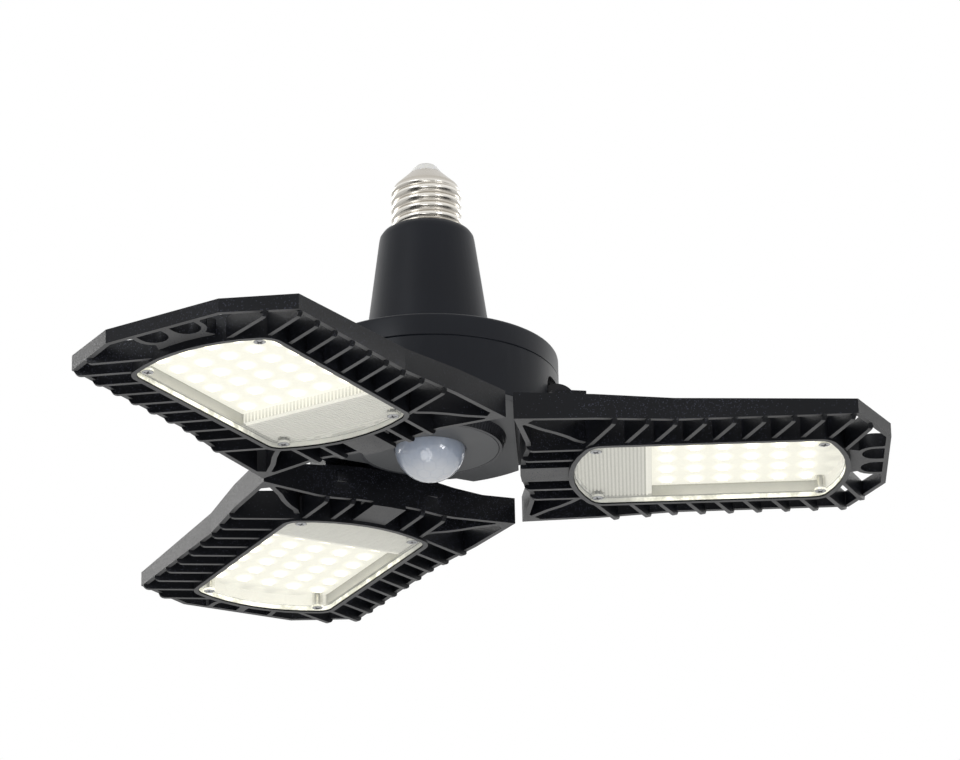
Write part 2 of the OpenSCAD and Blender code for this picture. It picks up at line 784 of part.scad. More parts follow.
// Fins, middle block, corner plates and corner struts between the tray and the hub end
module hub_end() {
    translate([panel_start - trim, -hub_block_w / 2, hub_block_low])
        cube([tray_x0 + 2 * trim - panel_start, hub_block_w, pad_top]);
    both_sides() {
        fin([tray_x0 + fin_root, hub_fin_y[0]], [panel_start + 0.8, hub_fin_y[0]]);
        fin([tray_x0 + 2 * fin_root, hub_fin_y[1]], [panel_start + end_dip, hub_fin_y[1]]);
        translate([0, 0, band_low])
            linear_extrude(pad_top) {
                polygon([[panel_start - trim, hub_end_w / 2 - 7], [panel_start + 2, hub_end_w / 2 - 7],
                         [panel_start + 7, hub_end_w / 2 - 1], [panel_start + 7, hub_end_w],
                         [panel_start - trim, hub_end_w]]);
                polygon(ribbon([[lens_x0 + 6.5, tray_y - 5], [lens_x0 + 1.5, tray_y - 1.5],
                                [lens_x0 - 1.5, tray_y + 2.5], [lens_x0 - 5.5, tray_y + 6.5],
                                [lens_x0 - 10.5, tray_y + 10.5], [panel_start + 2, hub_end_w / 2 - 4]],
                               strut_t));
            }
    }
}

// Web at the tip: a middle strut and two bowed outer ones, with a D-shaped window on each side
// of the middle strut, and a last fin
module tip_web() {
    stem = tray_x1 - trim;
    side = tip_x - band_t;
    outer_y = web_spread + strut_t / 2;
    c = [side - web_flat, web_spread - strut_t / 2 - web_r];
    both_sides() {
        translate([0, 0, band_low])
            linear_extrude(pad_top)
                difference() {
                    polygon(concat(
                        [[stem, -strut_t / 2], [tip_x, -strut_t / 2], [tip_x, outer_y + web_flare],
                         [side, outer_y + web_flare], [side - web_flare, outer_y], [c[0], outer_y]],
                        arc(c, web_r + strut_t, 90, 150, arc_steps),
                        [[stem, c[1] + web_r]]));
                    polygon(concat(
                        [[side, c[1] + web_r]],
                        [[c[0], c[1] + web_r]],
                        arc(c, web_r, 90, 270, 2 * arc_steps),
                        [[side, c[1] - web_r]]));
                }
        fin([tray_x1 - fin_root, web_spread],
            [tip_x - last_fin_share * tip_cut, (tip_w + last_fin_share * (body_w - tip_w)) / 2]);
    }
}

// Flat seat for the hinge bracket, with its screw bosses and the cheeks beside the hinge
module hinge_pad() {
    translate([pad_start, -pad_w / 2, pad_top - pad_t]) cube([pad_end - pad_start, pad_w, pad_t]);
    for (x = bracket_screw_x)
        both_sides()
            translate([x, bracket_screw_y, pad_top - bracket_screw_len - trim])
                cylinder(r = bracket_boss_r, h = bracket_screw_len);
    both_sides()
        translate([0, cheek_in + cheek_t / 2, 0])
            across(cheek_t)
                polygon([[cheek_start, pad_top - trim], [pad_end, pad_top - trim],
                         [pad_end, pad_top + cheek_h - cheek_fall],
                         [cheek_start + cheek_slope, pad_top + cheek_h],
                         [cheek_start, pad_top + cheek_h / 2]]);
}

module tray() {
    translate([0, 0, -rim_lip])
        linear_extrude(rim_lip + tray_back) polygon(lens_outline(tray_grow));
    for (s = panel_screws)
        translate([s[0], s[1], tray_depth]) cylinder(r = boss_post_r + 0.6, h = floor_t + trim);
}

module heat_sink(p)
    color("#26282c")
        at_panel(p)
            difference() {
                union() {
                    tray();
                    hinge_pad();
                    wall_top();
                    intersection() {
                        envelope();
                        union() {
                            band();
                            both_sides() side_fins();
                            back_ribs();
                            hub_end();
                            tip_web();
                        }
                    }
                }
                translate([0, 0, -rim_lip - trim])
                    linear_extrude(rim_lip + trim + tray_depth) polygon(lens_outline(slip));
                for (s = panel_screws)
                    translate([s[0], s[1], tray_depth - trim])
                        cylinder(r = lens_screw_r + bore_gap, h = lens_screw_tip - tray_depth + trim);
                for (x = bracket_screw_x)
                    both_sides()
                        translate([x, bracket_screw_y, pad_top - bracket_screw_len])
                            cylinder(r = bracket_screw_r + bore_gap, h = bracket_screw_len + trim);
            }

// Hinge

module hinge_bracket(p) {
    arm_start = bracket_start + arm_setback;
    arm = [[arm_start, pad_top], [bracket_end, pad_top], [bracket_end, bracket_top],
           touch([bracket_end, bracket_top], hinge, knuckle_r, 1), hinge,
           touch([arm_start, bracket_top], hinge, knuckle_r, -1), [arm_start, bracket_top]];
    color("#141517")
        at_panel(p)
            difference() {
                union() {
                    translate([bracket_start, -bracket_w / 2, pad_top])
                        cube([bracket_end - bracket_start, bracket_w, bracket_t]);
                    both_sides()
                        translate([0, bracket_w / 2 - knuckle_w / 2, 0])
                            across(knuckle_w) {
                                polygon(arm);
                                translate(hinge) circle(knuckle_r);
                            }
                }
                across(2 * bracket_w) translate(hinge) circle(pin_r + bore_gap);
                for (x = bracket_screw_x)
                    both_sides()
                        translate([x, bracket_screw_y, pad_top - trim]) {
                            cylinder(r = bracket_screw_r + bore_gap, h = bracket_t + 2 * trim);
                            translate([0, 0, trim + bracket_t - bracket_head_t])
                                cylinder(r = bracket_head_r + slip / 2, h = bracket_t + trim);
                        }
            }
}

module bracket_screws(p)
    color("#8d8f92")
        at_panel(p)
            for (x = bracket_screw_x)
                both_sides()
                    translate([x, bracket_screw_y, bracket_top - bracket_head_t]) {
                        cylinder(r = bracket_head_r, h = bracket_head_t);
                        translate([0, 0, -bracket_shank])
                            cylinder(r = bracket_screw_r, h = bracket_shank);
                    }

module hinge_pin(p)
    color("#9a9c9f")
        at_panel(p)
            translate([hinge_r, 0, hinge_above_lens])
                rotate([90, 0, 0])
                    translate([0, 0, -bracket_w / 2 - pin_head_t]) {
                        cylinder(r = pin_r, h = bracket_w + 2 * pin_head_t);
                        translate([0, 0, bracket_w + pin_head_t]) cylinder(r = pin_head_r, h = pin_head_t);
                    }

module hinge_nut(p)
    color("#9a9c9f")
        at_panel(p)
            translate([hinge_r, bracket_w / 2, hinge_above_lens])
                rotate([-90, 0, 0])
                    difference() {
                        cylinder(r = nut_r, h = pin_head_t, $fn = 6);
                        translate([0, 0, -trim]) cylinder(r = pin_r + bore_gap, h = pin_head_t + 2 * trim);
                    }

module friction_washers(p)
    color("#b4b6b8")
        at_panel(p)
            both_sides()
                translate([hinge_r, hub_knuckle_w / 2, hinge_above_lens])
                    rotate([-90, 0, 0])
                        difference() {
                            cylinder(r = washer_r, h = washer_t);
                            translate([0, 0, -trim])
                                cylinder(r = pin_r + washer_gap, h = washer_t + 2 * trim);
                        }

// Lens and lighting

module lens_cover(p)
    color([0.9, 0.93, 0.95, 0.45])
        at_panel(p)
            difference() {
                union() {
                    linear_extrude(lens_t) polygon(lens_outline(0));
                    for (s = panel_screws)
                        translate([s[0], s[1], lens_t / 2])
                            cylinder(r = boss_post_r, h = board_z - lens_t / 2);
                }
                for (s = panel_screws)
                    translate([s[0], s[1], -trim]) {
                        cylinder(r = lens_screw_r + bore_gap, h = board_z + 2 * trim);
                        cylinder(r = lens_screw_head_r + bore_gap, h = lens_head_t + trim);
                    }
            }

module lens_screws(p)
    color("#b8babc")
        at_panel(p)
            for (s = panel_screws)
                translate([s[0], s[1], 0]) {
                    cylinder(r = lens_screw_head_r, h = lens_head_t);
                    cylinder(r = lens_screw_r, h = lens_screw_tip - 0.2);
                }

// A ring that follows the lens's outline, from slip inside it, with room for the lens's posts
module lens_ring(h)
    linear_extrude(h)
        difference() {
            polygon(lens_outline(-slip));
            polygon(lens_outline(-slip - seal_w));
            for (s = panel_screws) translate(s) circle(boss_post_r + slip);
        }

module lens_gasket(p)
    color("#e4e4e0")
        at_panel(p)
            translate([0, 0, lens_t]) lens_ring(gasket_t);

// White frame round the chips, with a ribbed cover over the wiring
module reflector(p) {
    end_x = lens_x0 + cover_len;
    ribs = floor((cover_len - 4) / rib_pitch);
    first = end_x - rib_w - ribs * rib_pitch;
    color("#f6f6f2")
        at_panel(p)
            union() {
                translate([0, 0, seal_z]) lens_ring(board_z - seal_z);
                difference() {
                    intersection() {
                        translate([0, 0, seal_z])
                            linear_extrude(board_z) polygon(lens_outline(-slip - seal_w / 2));
                        across(lens_w)
                            polygon([[lens_x0, seal_z], [end_x, seal_z], [end_x, board_z],
                                     [end_x - cover_plate_t, board_z],
                                     [end_x - cover_plate_t, seal_z + cover_plate_t],
                                     [lens_x0, seal_z + cover_plate_t]]);
                    }
                    for (s = panel_screws)
                        translate([s[0], s[1], 0]) cylinder(r = boss_post_r + slip, h = board_z + trim);
                }
                difference() {
                    intersection() {
                        translate([0, 0, seal_z - rib_h])
                            linear_extrude(2 * rib_h) polygon(lens_outline(-2 * slip - seal_w));
                        for (k = [0:ribs - 1])
                            translate([first + k * rib_pitch, -lens_w / 2, seal_z - rib_h])
                                cube([rib_w, lens_w, 2 * rib_h]);
                    }
                    for (s = panel_screws)
                        translate([s[0], s[1], 0]) cylinder(r = boss_post_r + slip, h = board_z + trim);
                }
            }
}

module led_board(p)
    color("#f2f2ee")
        at_panel(p)
            translate([0, 0, board_z])
                linear_extrude(board_t)
                    difference() {
                        polygon(lens_outline(-slip));
                        for (s = panel_screws) translate(s) circle(lens_screw_r + slip);
                    }

module leds(p)
    color("#fff3c4")
        at_panel(p)
            for (i = [0:led_columns - 1], j = [0:led_rows - 1])
                translate([lens_x0 + led_first + i * led_pitch_x,
                           (j - (led_rows - 1) / 2) * led_pitch_y, board_z - led_t / 2])
                    cube([led_size, led_size, led_t], center = true);

screw_shell();
base_insulator();
centre_contact();
neck_cap();
lower_housing();
housing_screws();
bottom_cover();
sensor_ring();
sensor_plate();
sensor_dome();
infrared_element();
sensor_board();
driver_board();
for (p = panels) {
    heat_sink(p);
    hinge_bracket(p);
    bracket_screws(p);
    hinge_pin(p);
    hinge_nut(p);
    friction_washers(p);
    lens_cover(p);
    lens_screws(p);
    lens_gasket(p);
    reflector(p);
    led_board(p);
    leds(p);
}
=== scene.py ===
import json
import math

import bmesh
import bpy
import numpy as np
from mathutils import Matrix, Vector

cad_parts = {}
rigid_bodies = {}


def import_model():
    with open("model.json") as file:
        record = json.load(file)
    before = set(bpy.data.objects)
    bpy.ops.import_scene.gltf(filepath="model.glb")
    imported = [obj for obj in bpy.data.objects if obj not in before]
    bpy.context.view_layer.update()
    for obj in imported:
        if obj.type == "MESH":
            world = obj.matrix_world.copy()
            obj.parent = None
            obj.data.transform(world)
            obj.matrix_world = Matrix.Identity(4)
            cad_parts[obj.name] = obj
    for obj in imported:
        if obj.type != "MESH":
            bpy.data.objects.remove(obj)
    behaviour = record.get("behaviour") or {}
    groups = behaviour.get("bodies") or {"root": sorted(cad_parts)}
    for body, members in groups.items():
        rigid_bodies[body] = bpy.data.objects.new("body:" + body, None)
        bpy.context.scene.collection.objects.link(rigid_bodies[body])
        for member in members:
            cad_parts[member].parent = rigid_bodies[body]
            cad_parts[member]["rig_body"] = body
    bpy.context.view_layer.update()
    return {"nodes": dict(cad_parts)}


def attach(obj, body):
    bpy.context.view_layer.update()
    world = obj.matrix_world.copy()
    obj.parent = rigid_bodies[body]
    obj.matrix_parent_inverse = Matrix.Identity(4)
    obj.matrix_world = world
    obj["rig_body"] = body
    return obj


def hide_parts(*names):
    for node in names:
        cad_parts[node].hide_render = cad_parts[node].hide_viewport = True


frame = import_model()
nodes = frame["nodes"]

# Lengths in the tables are in mm, but softReach is in metres, and the scales of noise and cells are per
# metre. Heights count from the top of the neck, and on a panel from its lens face
mm = 0.001
panels = (1, 2, 3)
panelStep = math.radians(120)
lensPlane = -97.5  # height of the lens faces in mm, from the top of the neck
black = (0.0, 0.0, 0.0)
white = (1.0, 1.0, 1.0)


# One socket of a node tree, with arithmetic on it
class Wire:
    def __init__(self, graph, socket):
        self.graph = graph
        self.socket = socket

    def __add__(self, other):
        return self.graph.work("ADD", self, other)

    def __radd__(self, other):
        return self.graph.work("ADD", other, self)

    def __sub__(self, other):
        return self.graph.work("SUBTRACT", self, other)

    def __rsub__(self, other):
        return self.graph.work("SUBTRACT", other, self)

    def __mul__(self, other):
        return self.graph.work("MULTIPLY", self, other)

    def __rmul__(self, other):
        return self.graph.work("MULTIPLY", other, self)


class Graph:
    def __init__(self, tree):
        self.tree = tree
        tree.nodes.clear()

    # Adds a node: its settings first, since they decide the sockets, then socket values and links
    def add(self, kind, settings=None, sockets=None, output=0):
        node = self.tree.nodes.new(kind)
        for name, value in (settings or {}).items():
            setattr(node, name, value)
        for name, value in (sockets or {}).items():
            if isinstance(value, Wire):
                self.tree.links.new(value.socket, node.inputs[name])
            else:
                node.inputs[name].default_value = value
        return Wire(self, node.outputs[output]) if node.outputs else node

    # Arithmetic on numbers, or on vectors where any term is one
    def work(self, operation, *terms):
        wide = any(isinstance(t, tuple) or isinstance(t, Wire) and t.socket.type in ("VECTOR", "RGBA")
                   for t in terms)
        if wide:
            terms = [t if isinstance(t, (Wire, tuple)) else (t, t, t) for t in terms]
        kind = "ShaderNodeVectorMath" if wide else "ShaderNodeMath"
        return self.add(kind, {"operation": operation}, dict(enumerate(terms)))

    def length(self, vector):
        return self.add("ShaderNodeVectorMath", {"operation": "LENGTH"}, {0: vector}, "Value")

    def part(self, vector, axis):
        return self.add("ShaderNodeSeparateXYZ", {}, {0: vector}, axis)

    # Maps the range low..high of a number onto 0..1, or onto start..end
    def fit(self, value, low, high, start=0.0, end=1.0, smooth=False):
        return self.add("ShaderNodeMapRange", {"interpolation_type": "SMOOTHSTEP" if smooth else "LINEAR"},
                        {0: value, 1: low, 2: high, 3: start, 4: end})

    # The same for a length, with low and high in mm
    def along(self, value, low, high, start=0.0, end=1.0, smooth=False):
        return self.fit(value, low * mm, high * mm, start, end, smooth)

    # Goes from colour a to colour b as the factor goes from 0 to 1
    def mix(self, factor, a, b, how="MIX"):
        a, b = [(*c, 1.0) if isinstance(c, tuple) else c for c in (a, b)]
        return self.add("ShaderNodeMix", {"data_type": "RGBA", "blend_type": how},
                        {0: factor, 6: a, 7: b}, 2)


class Finish(Graph):
    def __init__(self, name):
        self.material = bpy.data.materials.new(name)
        self.material.use_nodes = True
        super().__init__(self.material.node_tree)
        self.place = self.add("ShaderNodeTexCoord", output="Object")

    def noise(self, scale, detail=2.0, rough=0.5, place=None):
        return self.add("ShaderNodeTexNoise", {}, {"Vector": place or self.place, "Scale": scale,
                                                   "Detail": detail, "Roughness": rough})

    # Random cells: distance to the nearest centre, or the cell's random colour
    def cells(self, scale, output="Distance"):
        return self.add("ShaderNodeTexVoronoi", {}, {"Vector": self.place, "Scale": scale}, output)

    # Spreads a noise, most of which lies between 0.3 and 0.7, over start..end
    def spread(self, noise, start=0.0, end=1.0):
        return self.fit(noise, 0.3, 0.7, start, end)

    # Lets a second tint in where a noise is high, up to the given share
    def mottle(self, noise, tint, second, share=1.0):
        return self.mix(self.fit(noise, 0.4, 0.7, 0.0, share), tint, second)

    # Relief is the height of the bumps in mm and their strength
    def bump(self, height, relief):
        return self.add("ShaderNodeBump", {},
                        {"Height": height, "Distance": relief[0] * mm, "Strength": relief[1]})

    def shade(self, sockets):
        return self.add("ShaderNodeBsdfPrincipled", {}, sockets)

    def done(self, shader):
        self.add("ShaderNodeOutputMaterial", {}, {"Surface": shader})
        return self.material


def colour(r, g, b):
    return (r, g, b, 1.0)


def scaled(tint, share):
    return tuple(share * c for c in tint)


# Puts a new piece on a body, in place of the CAD nodes that it replaces
def link(mesh, body, replaced):
    piece = bpy.data.objects.new(mesh.name, mesh)
    bpy.context.scene.collection.objects.link(piece)
    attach(piece, body)
    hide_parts(*replaced)
    return piece


# Shades a mesh smooth except at edges sharper than the angle
def smoothed(mesh, sharp):
    mesh.polygons.foreach_set("use_smooth", np.ones(len(mesh.polygons), bool))
    mesh.set_sharp_from_angle(angle=math.radians(sharp))
    return mesh


# A mesh from points in mm and faces
def meshOf(name, points, faces, sharp):
    mesh = bpy.data.meshes.new(name)
    mesh.from_pydata((np.asarray(points, float).reshape(-1, 3) * mm).tolist(), [], faces)
    smoothed(mesh, sharp).update()
    return mesh


# Stores a number on each point of a mesh, for its material to read
def store(mesh, name, values):
    attribute = mesh.attributes.new(name, "FLOAT", "POINT")
    attribute.data.foreach_set("value", values.astype(np.float32))


# Quads over a grid of rows x columns points whose columns close on themselves
def ringFaces(rows, columns, start=0):
    r, c = np.meshgrid(np.arange(rows - 1), np.arange(columns), indexing="ij")
    after = (c + 1) % columns
    row, nextRow = r * columns, (r + 1) * columns
    quads = np.stack([row + c, row + after, nextRow + after, nextRow + c], -1)
    return (quads.reshape(-1, 4) + start).tolist()


# Angles of the columns, spread evenly over a full turn
def fullTurn(columns):
    return np.linspace(0, 2 * math.pi, columns, endpoint=False)[None, :]


# Surface of turning: each point lies at its radius and its angle from the axis, at its height
def revolved(radius, height, angle):
    return np.stack([radius * np.cos(angle), radius * np.sin(angle), height + 0 * angle], -1)


# Goes smoothly from 0 to 1 as t does, level at both ends
def eased(t):
    t = np.clip(t, 0, 1)
    return t * t * (3 - 2 * t)


cornerShare = 0.49  # the most of a side that a corner's curve may take


# Replaces each inner corner of an open line by a curve that leaves its sides at the tangents of an arc of
# the given radius: the weights of both ends and the corner are (1 - t)^2, t^2 and 2t(1 - t)
def rounded(points, radii, steps):
    line = [np.array(points[0], float)]
    for before, corner, after, radius in zip(points, points[1:], points[2:], radii):
        before, corner, after = (np.array(p, float) for p in (before, corner, after))
        if not radius:
            line.append(corner)
            continue
        a, b = before - corner, after - corner
        la, lb = np.linalg.norm(a), np.linalg.norm(b)
        half = math.acos(max(-1.0, min(1.0, float(a @ b) / (la * lb)))) / 2
        reach = min(radius / math.tan(half), cornerShare * la, cornerShare * lb)
        p, q = corner + a / la * reach, corner + b / lb * reach
        t = np.linspace(0, 1, steps + 1)[:, None]
        line.extend((1 - t) ** 2 * p + 2 * t * (1 - t) * corner + t ** 2 * q)
    line.append(np.array(points[-1], float))
    return np.array(line)


refining = {"joinWithin": 2e-6, "flatWithin": 1.0, "sharpFrom": 30}  # metres, degrees, degrees


# A copy of a CAD node with its flat faces joined and its sharp edges rounded, named after the node:
# hinge_pin_2 becomes hingePin2
def refined(node, width, steps=2):
    source = nodes[node]
    first, *rest = node.split("_")
    work = bmesh.new()
    work.from_mesh(source.data)
    bmesh.ops.remove_doubles(work, verts=work.verts, dist=refining["joinWithin"])
    bmesh.ops.dissolve_limit(work, angle_limit=math.radians(refining["flatWithin"]), verts=work.verts,
                             edges=work.edges)
    mesh = bpy.data.meshes.new(first + "".join(word.capitalize() for word in rest))
    work.to_mesh(mesh)
    work.free()
    piece = link(smoothed(mesh, refining["sharpFrom"]), source["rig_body"], [node])
    bevel = piece.modifiers.new("edges", "BEVEL")
    bevel.width = width * mm
    bevel.segments = steps
    bevel.limit_method = "ANGLE"
    bevel.angle_limit = math.radians(refining["sharpFrom"])
    bevel.harden_normals = True
    bevel.use_clamp_overlap = True
    return piece


def paint(piece, material):
    piece.data.materials.clear()
    piece.data.materials.append(material)
    return piece


# The upward part of each face's normal, and the height of its middle over the lens faces in mm
def slopesAndLevels(piece):
    faces = piece.data.polygons
    normals, centres = np.empty(3 * len(faces)), np.empty(3 * len(faces))
    faces.foreach_get("normal", normals)
    faces.foreach_get("center", centres)
    return normals[2::3], centres[2::3] / mm - lensPlane


# Gives the chosen faces of a painted piece a second material
def paintSome(piece, material, chosen):
    piece.data.materials.append(material)
    piece.data.polygons.foreach_set("material_index", chosen.astype(np.int32))


# Coordinates of a panel laid along +X, in metres, with the lens face at zero height
def panelPlace(finish, panel):
    return finish.add("ShaderNodeMapping", {"vector_type": "POINT"}, {
        "Vector": finish.place, "Rotation": (0.0, 0.0, -panelStep * (panel - 1)),
        "Location": (0.0, 0.0, -lensPlane * mm)})


# Points laid out for a panel along +X, with the lens face at zero height, turned into the panel's place
def ontoPanel(points, panel):
    c, s = math.cos(panelStep * (panel - 1)), math.sin(panelStep * (panel - 1))
    return np.asarray(points, float) @ np.array([[c, s, 0], [-s, c, 0], [0, 0, 1]]) + (0, 0, lensPlane)


view = {"focalLength": 167.61, "sensorWidth": 36, "distance": 1608.0, "elevation": 21.01, "yaw": 0.705,
        "pitch": 22.29, "roll": -1.20, "turn": 2.45, "nearest": 0.05, "farthest": 50}


# The camera stands below the lens faces, at its distance in mm and its elevation in degrees. Yaw, pitch and
# roll aim it, and the turn carries it round the lamp's axis. It sees from nearest to farthest, in metres
def placeCamera():
    e, yaw, pitch, roll = (math.radians(view[k]) for k in ("elevation", "yaw", "pitch", "roll"))
    place = Vector((0, -view["distance"] * math.cos(e), lensPlane - view["distance"] * math.sin(e))) * mm
    ahead = Vector((math.sin(yaw) * math.cos(pitch), math.cos(yaw) * math.cos(pitch), math.sin(pitch)))
    side = ahead.cross(Vector((0, 0, 1))).normalized()
    up = side.cross(ahead)
    right = math.cos(roll) * side + math.sin(roll) * up
    above = -math.sin(roll) * side + math.cos(roll) * up
    turn = Matrix.Rotation(math.radians(view["turn"]), 4, "Z")
    pose = Matrix((right, above, -ahead)).transposed().to_4x4()
    pose.translation = place
    data = bpy.data.cameras.new("camera")
    data.lens = view["focalLength"]
    data.sensor_width = view["sensorWidth"]
    data.clip_start = view["nearest"]
    data.clip_end = view["farthest"]
    camera = bpy.data.objects.new("camera", data)
    bpy.context.scene.collection.objects.link(camera)
    camera.matrix_world = turn @ pose
    bpy.context.scene.camera = camera


# The studio's sizes and places are in metres, and the lamps' powers in watts
studio = {"worldLight": 0.55, "worldShown": 1.0, "floorHeight": -3.2, "floorSize": 40.0,
          "floorColour": (0.94, 0.94, 0.93), "floorShade": 0.98, "floorCloud": 3.0, "floorRoughness": 0.8,
          "floorSpecular": 0.2, "floorLift": 0.12, "lampsAim": (0, 0, -0.07)}
lamps = {
    "keyLamp": {"at": (-1.3, -1.7, 0.7), "size": 1.1, "power": 12, "colour": (0.93, 0.96, 1.0)},
    "rightLamp": {"at": (1.3, 1.3, 0.15), "size": 0.9, "power": 6.5, "colour": (1.0, 0.99, 0.96)},
    "leftLamp": {"at": (-1.4, 0.9, 0.25), "size": 0.9, "power": 9, "colour": (1.0, 0.99, 0.97)},
    "lowLamp": {"at": (-0.3, -1.2, -1.3), "size": 1.2, "power": 9, "colour": white},
    "windowLamp": {"at": (1.4, -1.35, -0.54), "size": 0.42, "power": 5.0, "colour": white},
}


# The world lights the lamp at one strength, and shows as plain white at another
def buildWorld():
    world = bpy.data.worlds.new("studio")
    bpy.context.scene.world = world
    world.use_nodes = True
    sky = Graph(world.node_tree)
    seen = [sky.add("ShaderNodeLightPath", output=name)
            for name in ("Is Camera Ray", "Is Glossy Ray", "Is Transmission Ray")]
    shown = sky.work("MAXIMUM", sky.work("MAXIMUM", seen[0], seen[1]), seen[2])
    light, backdrop = [sky.add("ShaderNodeBackground", {}, {"Color": colour(*white), "Strength": studio[k]})
                       for k in ("worldLight", "worldShown")]
    both = sky.add("ShaderNodeMixShader", {}, {0: shown, 1: light, 2: backdrop})
    sky.add("ShaderNodeOutputWorld", {}, {"Surface": both})


def floorPaint():
    f = Finish("floorPaint")
    tint = f.mix(f.spread(f.noise(studio["floorCloud"])), studio["floorColour"],
                 scaled(studio["floorColour"], studio["floorShade"]))
    return f.done(f.shade({"Base Color": tint, "Roughness": studio["floorRoughness"],
                           "Specular IOR Level": studio["floorSpecular"],
                           "Emission Color": colour(*white), "Emission Strength": studio["floorLift"]}))


def buildFloor():
    half = studio["floorSize"] / 2 / mm
    low = studio["floorHeight"] / mm
    corners = [(-half, -half, low), (half, -half, low), (half, half, low), (-half, half, low)]
    floor = bpy.data.objects.new("floor", meshOf("floor", corners, [(0, 1, 2, 3)], sharp=35))
    bpy.context.scene.collection.objects.link(floor)
    paint(floor, floorPaint())


def buildLamps():
    for name, lamp in lamps.items():
        data = bpy.data.lights.new(name, "AREA")
        data.shape = "DISK"
        data.size = lamp["size"]
        data.energy = lamp["power"]
        data.color = lamp["colour"]
        lampObject = bpy.data.objects.new(name, data)
        bpy.context.scene.collection.objects.link(lampObject)
        place = Vector(lamp["at"])
        lampObject.location = place
        lampObject.rotation_euler = (place - Vector(studio["lampsAim"])).to_track_quat("Z", "Y").to_euler()


bpy.context.scene.view_settings.view_transform = "Standard"
placeCamera()
buildWorld()
buildFloor()
buildLamps()
print("studio ready")


# The thread's valleys are darkened with painted shade
shell = {
    "crestRadius": 13.1, "threadDepth": 1.1, "pitch": 3.63, "threadTop": 16.6, "fade": 1.6,
    "squareness": 0.8, "runOut": 0.6, "drawnIn": 0.9, "drawnFrom": 1.2, "drawnOver": 1.8,
    "shoulderRadius": 11.75, "shoulderAt": 18.2, "topRadius": 6.3, "top": 23.5, "bends": (1.6, 0.8, 0.2),
    "lip": 0.9, "lipDepth": 1.2, "shoulderIn": 1.3, "shoulderDown": 0.8, "boreRadius": 11.3, "boreTop": 16.0,
    "footStep": 0.2, "rows": 150, "columns": 160,
    "tint": (0.80, 0.775, 0.72), "valleyShadeTint": (0.50, 0.47, 0.42), "crestBand": 0.25,
    "smearTint": (0.60, 0.56, 0.48), "smearScale": 90.0, "smearFrom": (0.52, 0.72), "smearShare": 0.35,
    "roughness": (0.13, 0.26), "valleyRoughness": 0.10, "grain": 900.0, "relief": (0.02, 0.35)}


# Distance of the shell from the axis: a cosine wave that climbs one pitch each turn, made squarer by a power
# below 1 and faded in and out at the ends of the thread. Its side draws in over the thread, tapers to the top
# and comes down on the inside
def buildShell():
    s = shell
    angle = fullTurn(s["columns"])
    height = np.linspace(0, s["threadTop"] + s["runOut"], s["rows"])[:, None]
    wave = np.cos(2 * math.pi * height / s["pitch"] - angle)
    wave = np.sign(wave) * np.abs(wave) ** s["squareness"]
    ease = eased(np.minimum(height, s["threadTop"] - height) / s["fade"])
    drawn = eased((height - s["threadTop"] + s["drawnFrom"]) / s["drawnOver"])
    radius = s["crestRadius"] - s["threadDepth"] * (0.5 - 0.5 * wave) * ease - s["drawnIn"] * drawn
    thread = revolved(radius, height, angle)
    lip = s["topRadius"] - s["lip"]
    rest = rounded([(radius[-1, 0], height[-1, 0]), (s["shoulderRadius"], s["shoulderAt"]),
                    (s["topRadius"], s["top"]), (lip, s["top"]), (lip, s["top"] - s["lipDepth"]),
                    (s["shoulderRadius"] - s["shoulderIn"], s["shoulderAt"] - s["shoulderDown"]),
                    (s["boreRadius"], s["boreTop"]), (s["boreRadius"], 0.0),
                    (s["crestRadius"] - s["footStep"], 0.0)], [*s["bends"], 0, 0, 0, 0], steps=6)[1:]
    points = np.concatenate([thread, revolved(rest[:, :1], rest[:, 1:], angle), thread[:1]])
    return meshOf("screwShell", points, ringFaces(len(points), s["columns"]), sharp=40)


# Smeared nickel, darkened with painted shade in the valleys of the thread, which are also duller
def shellMetal():
    f = Finish("nickelShell")
    away = f.length(f.work("MULTIPLY", f.place, (1.0, 1.0, 0.0)))
    valley = f.along(away, shell["crestRadius"] - shell["threadDepth"],
                     shell["crestRadius"] - shell["crestBand"], 1.0, 0.0, smooth=True)
    smear = f.noise(shell["smearScale"], detail=4.0, rough=0.6)
    tint = f.mix(valley, shell["tint"], shell["valleyShadeTint"])
    tint = f.mix(f.fit(smear, *shell["smearFrom"], 0.0, shell["smearShare"]), tint, shell["smearTint"])
    rough = f.spread(smear, *shell["roughness"]) + valley * shell["valleyRoughness"]
    return f.done(f.shade({"Base Color": tint, "Metallic": 1.0, "Roughness": rough,
                           "Normal": f.bump(f.noise(shell["grain"]), shell["relief"])}))


paint(link(buildShell(), "hub", ["screw_shell"]), shellMetal())

insulator = {"tint": (0.84, 0.83, 0.79), "stain": (0.62, 0.58, 0.50), "stainScale": 160.0,
             "stainFrom": (0.5, 0.75), "stainShare": 0.5, "roughness": (0.16, 0.3), "relief": (0.1, 0.4),
             "softness": 0.25, "softReach": (0.002, 0.002, 0.0016), "coat": 0.3, "coatRoughness": 0.08,
             "edge": 0.25}


def insulatorGlaze():
    f = Finish("insulatorGlaze")
    cloud = f.noise(insulator["stainScale"], detail=3.0)
    tint = f.mix(f.fit(cloud, *insulator["stainFrom"], 0.0, insulator["stainShare"]), insulator["tint"],
                 insulator["stain"])
    return f.done(f.shade({"Base Color": tint, "Roughness": f.spread(cloud, *insulator["roughness"]),
                           "Subsurface Weight": insulator["softness"],
                           "Subsurface Radius": insulator["softReach"], "Subsurface Scale": 1.0,
                           "Coat Weight": insulator["coat"], "Coat Roughness": insulator["coatRoughness"],
                           "Normal": f.bump(cloud, insulator["relief"])}))


paint(refined("base_insulator", insulator["edge"], steps=3), insulatorGlaze())

contact = {"tint": (0.66, 0.65, 0.62), "dull": (0.42, 0.41, 0.38), "lumpScale": 420.0,
           "roughness": (0.22, 0.45), "relief": (0.25, 0.6), "edge": 0.2}


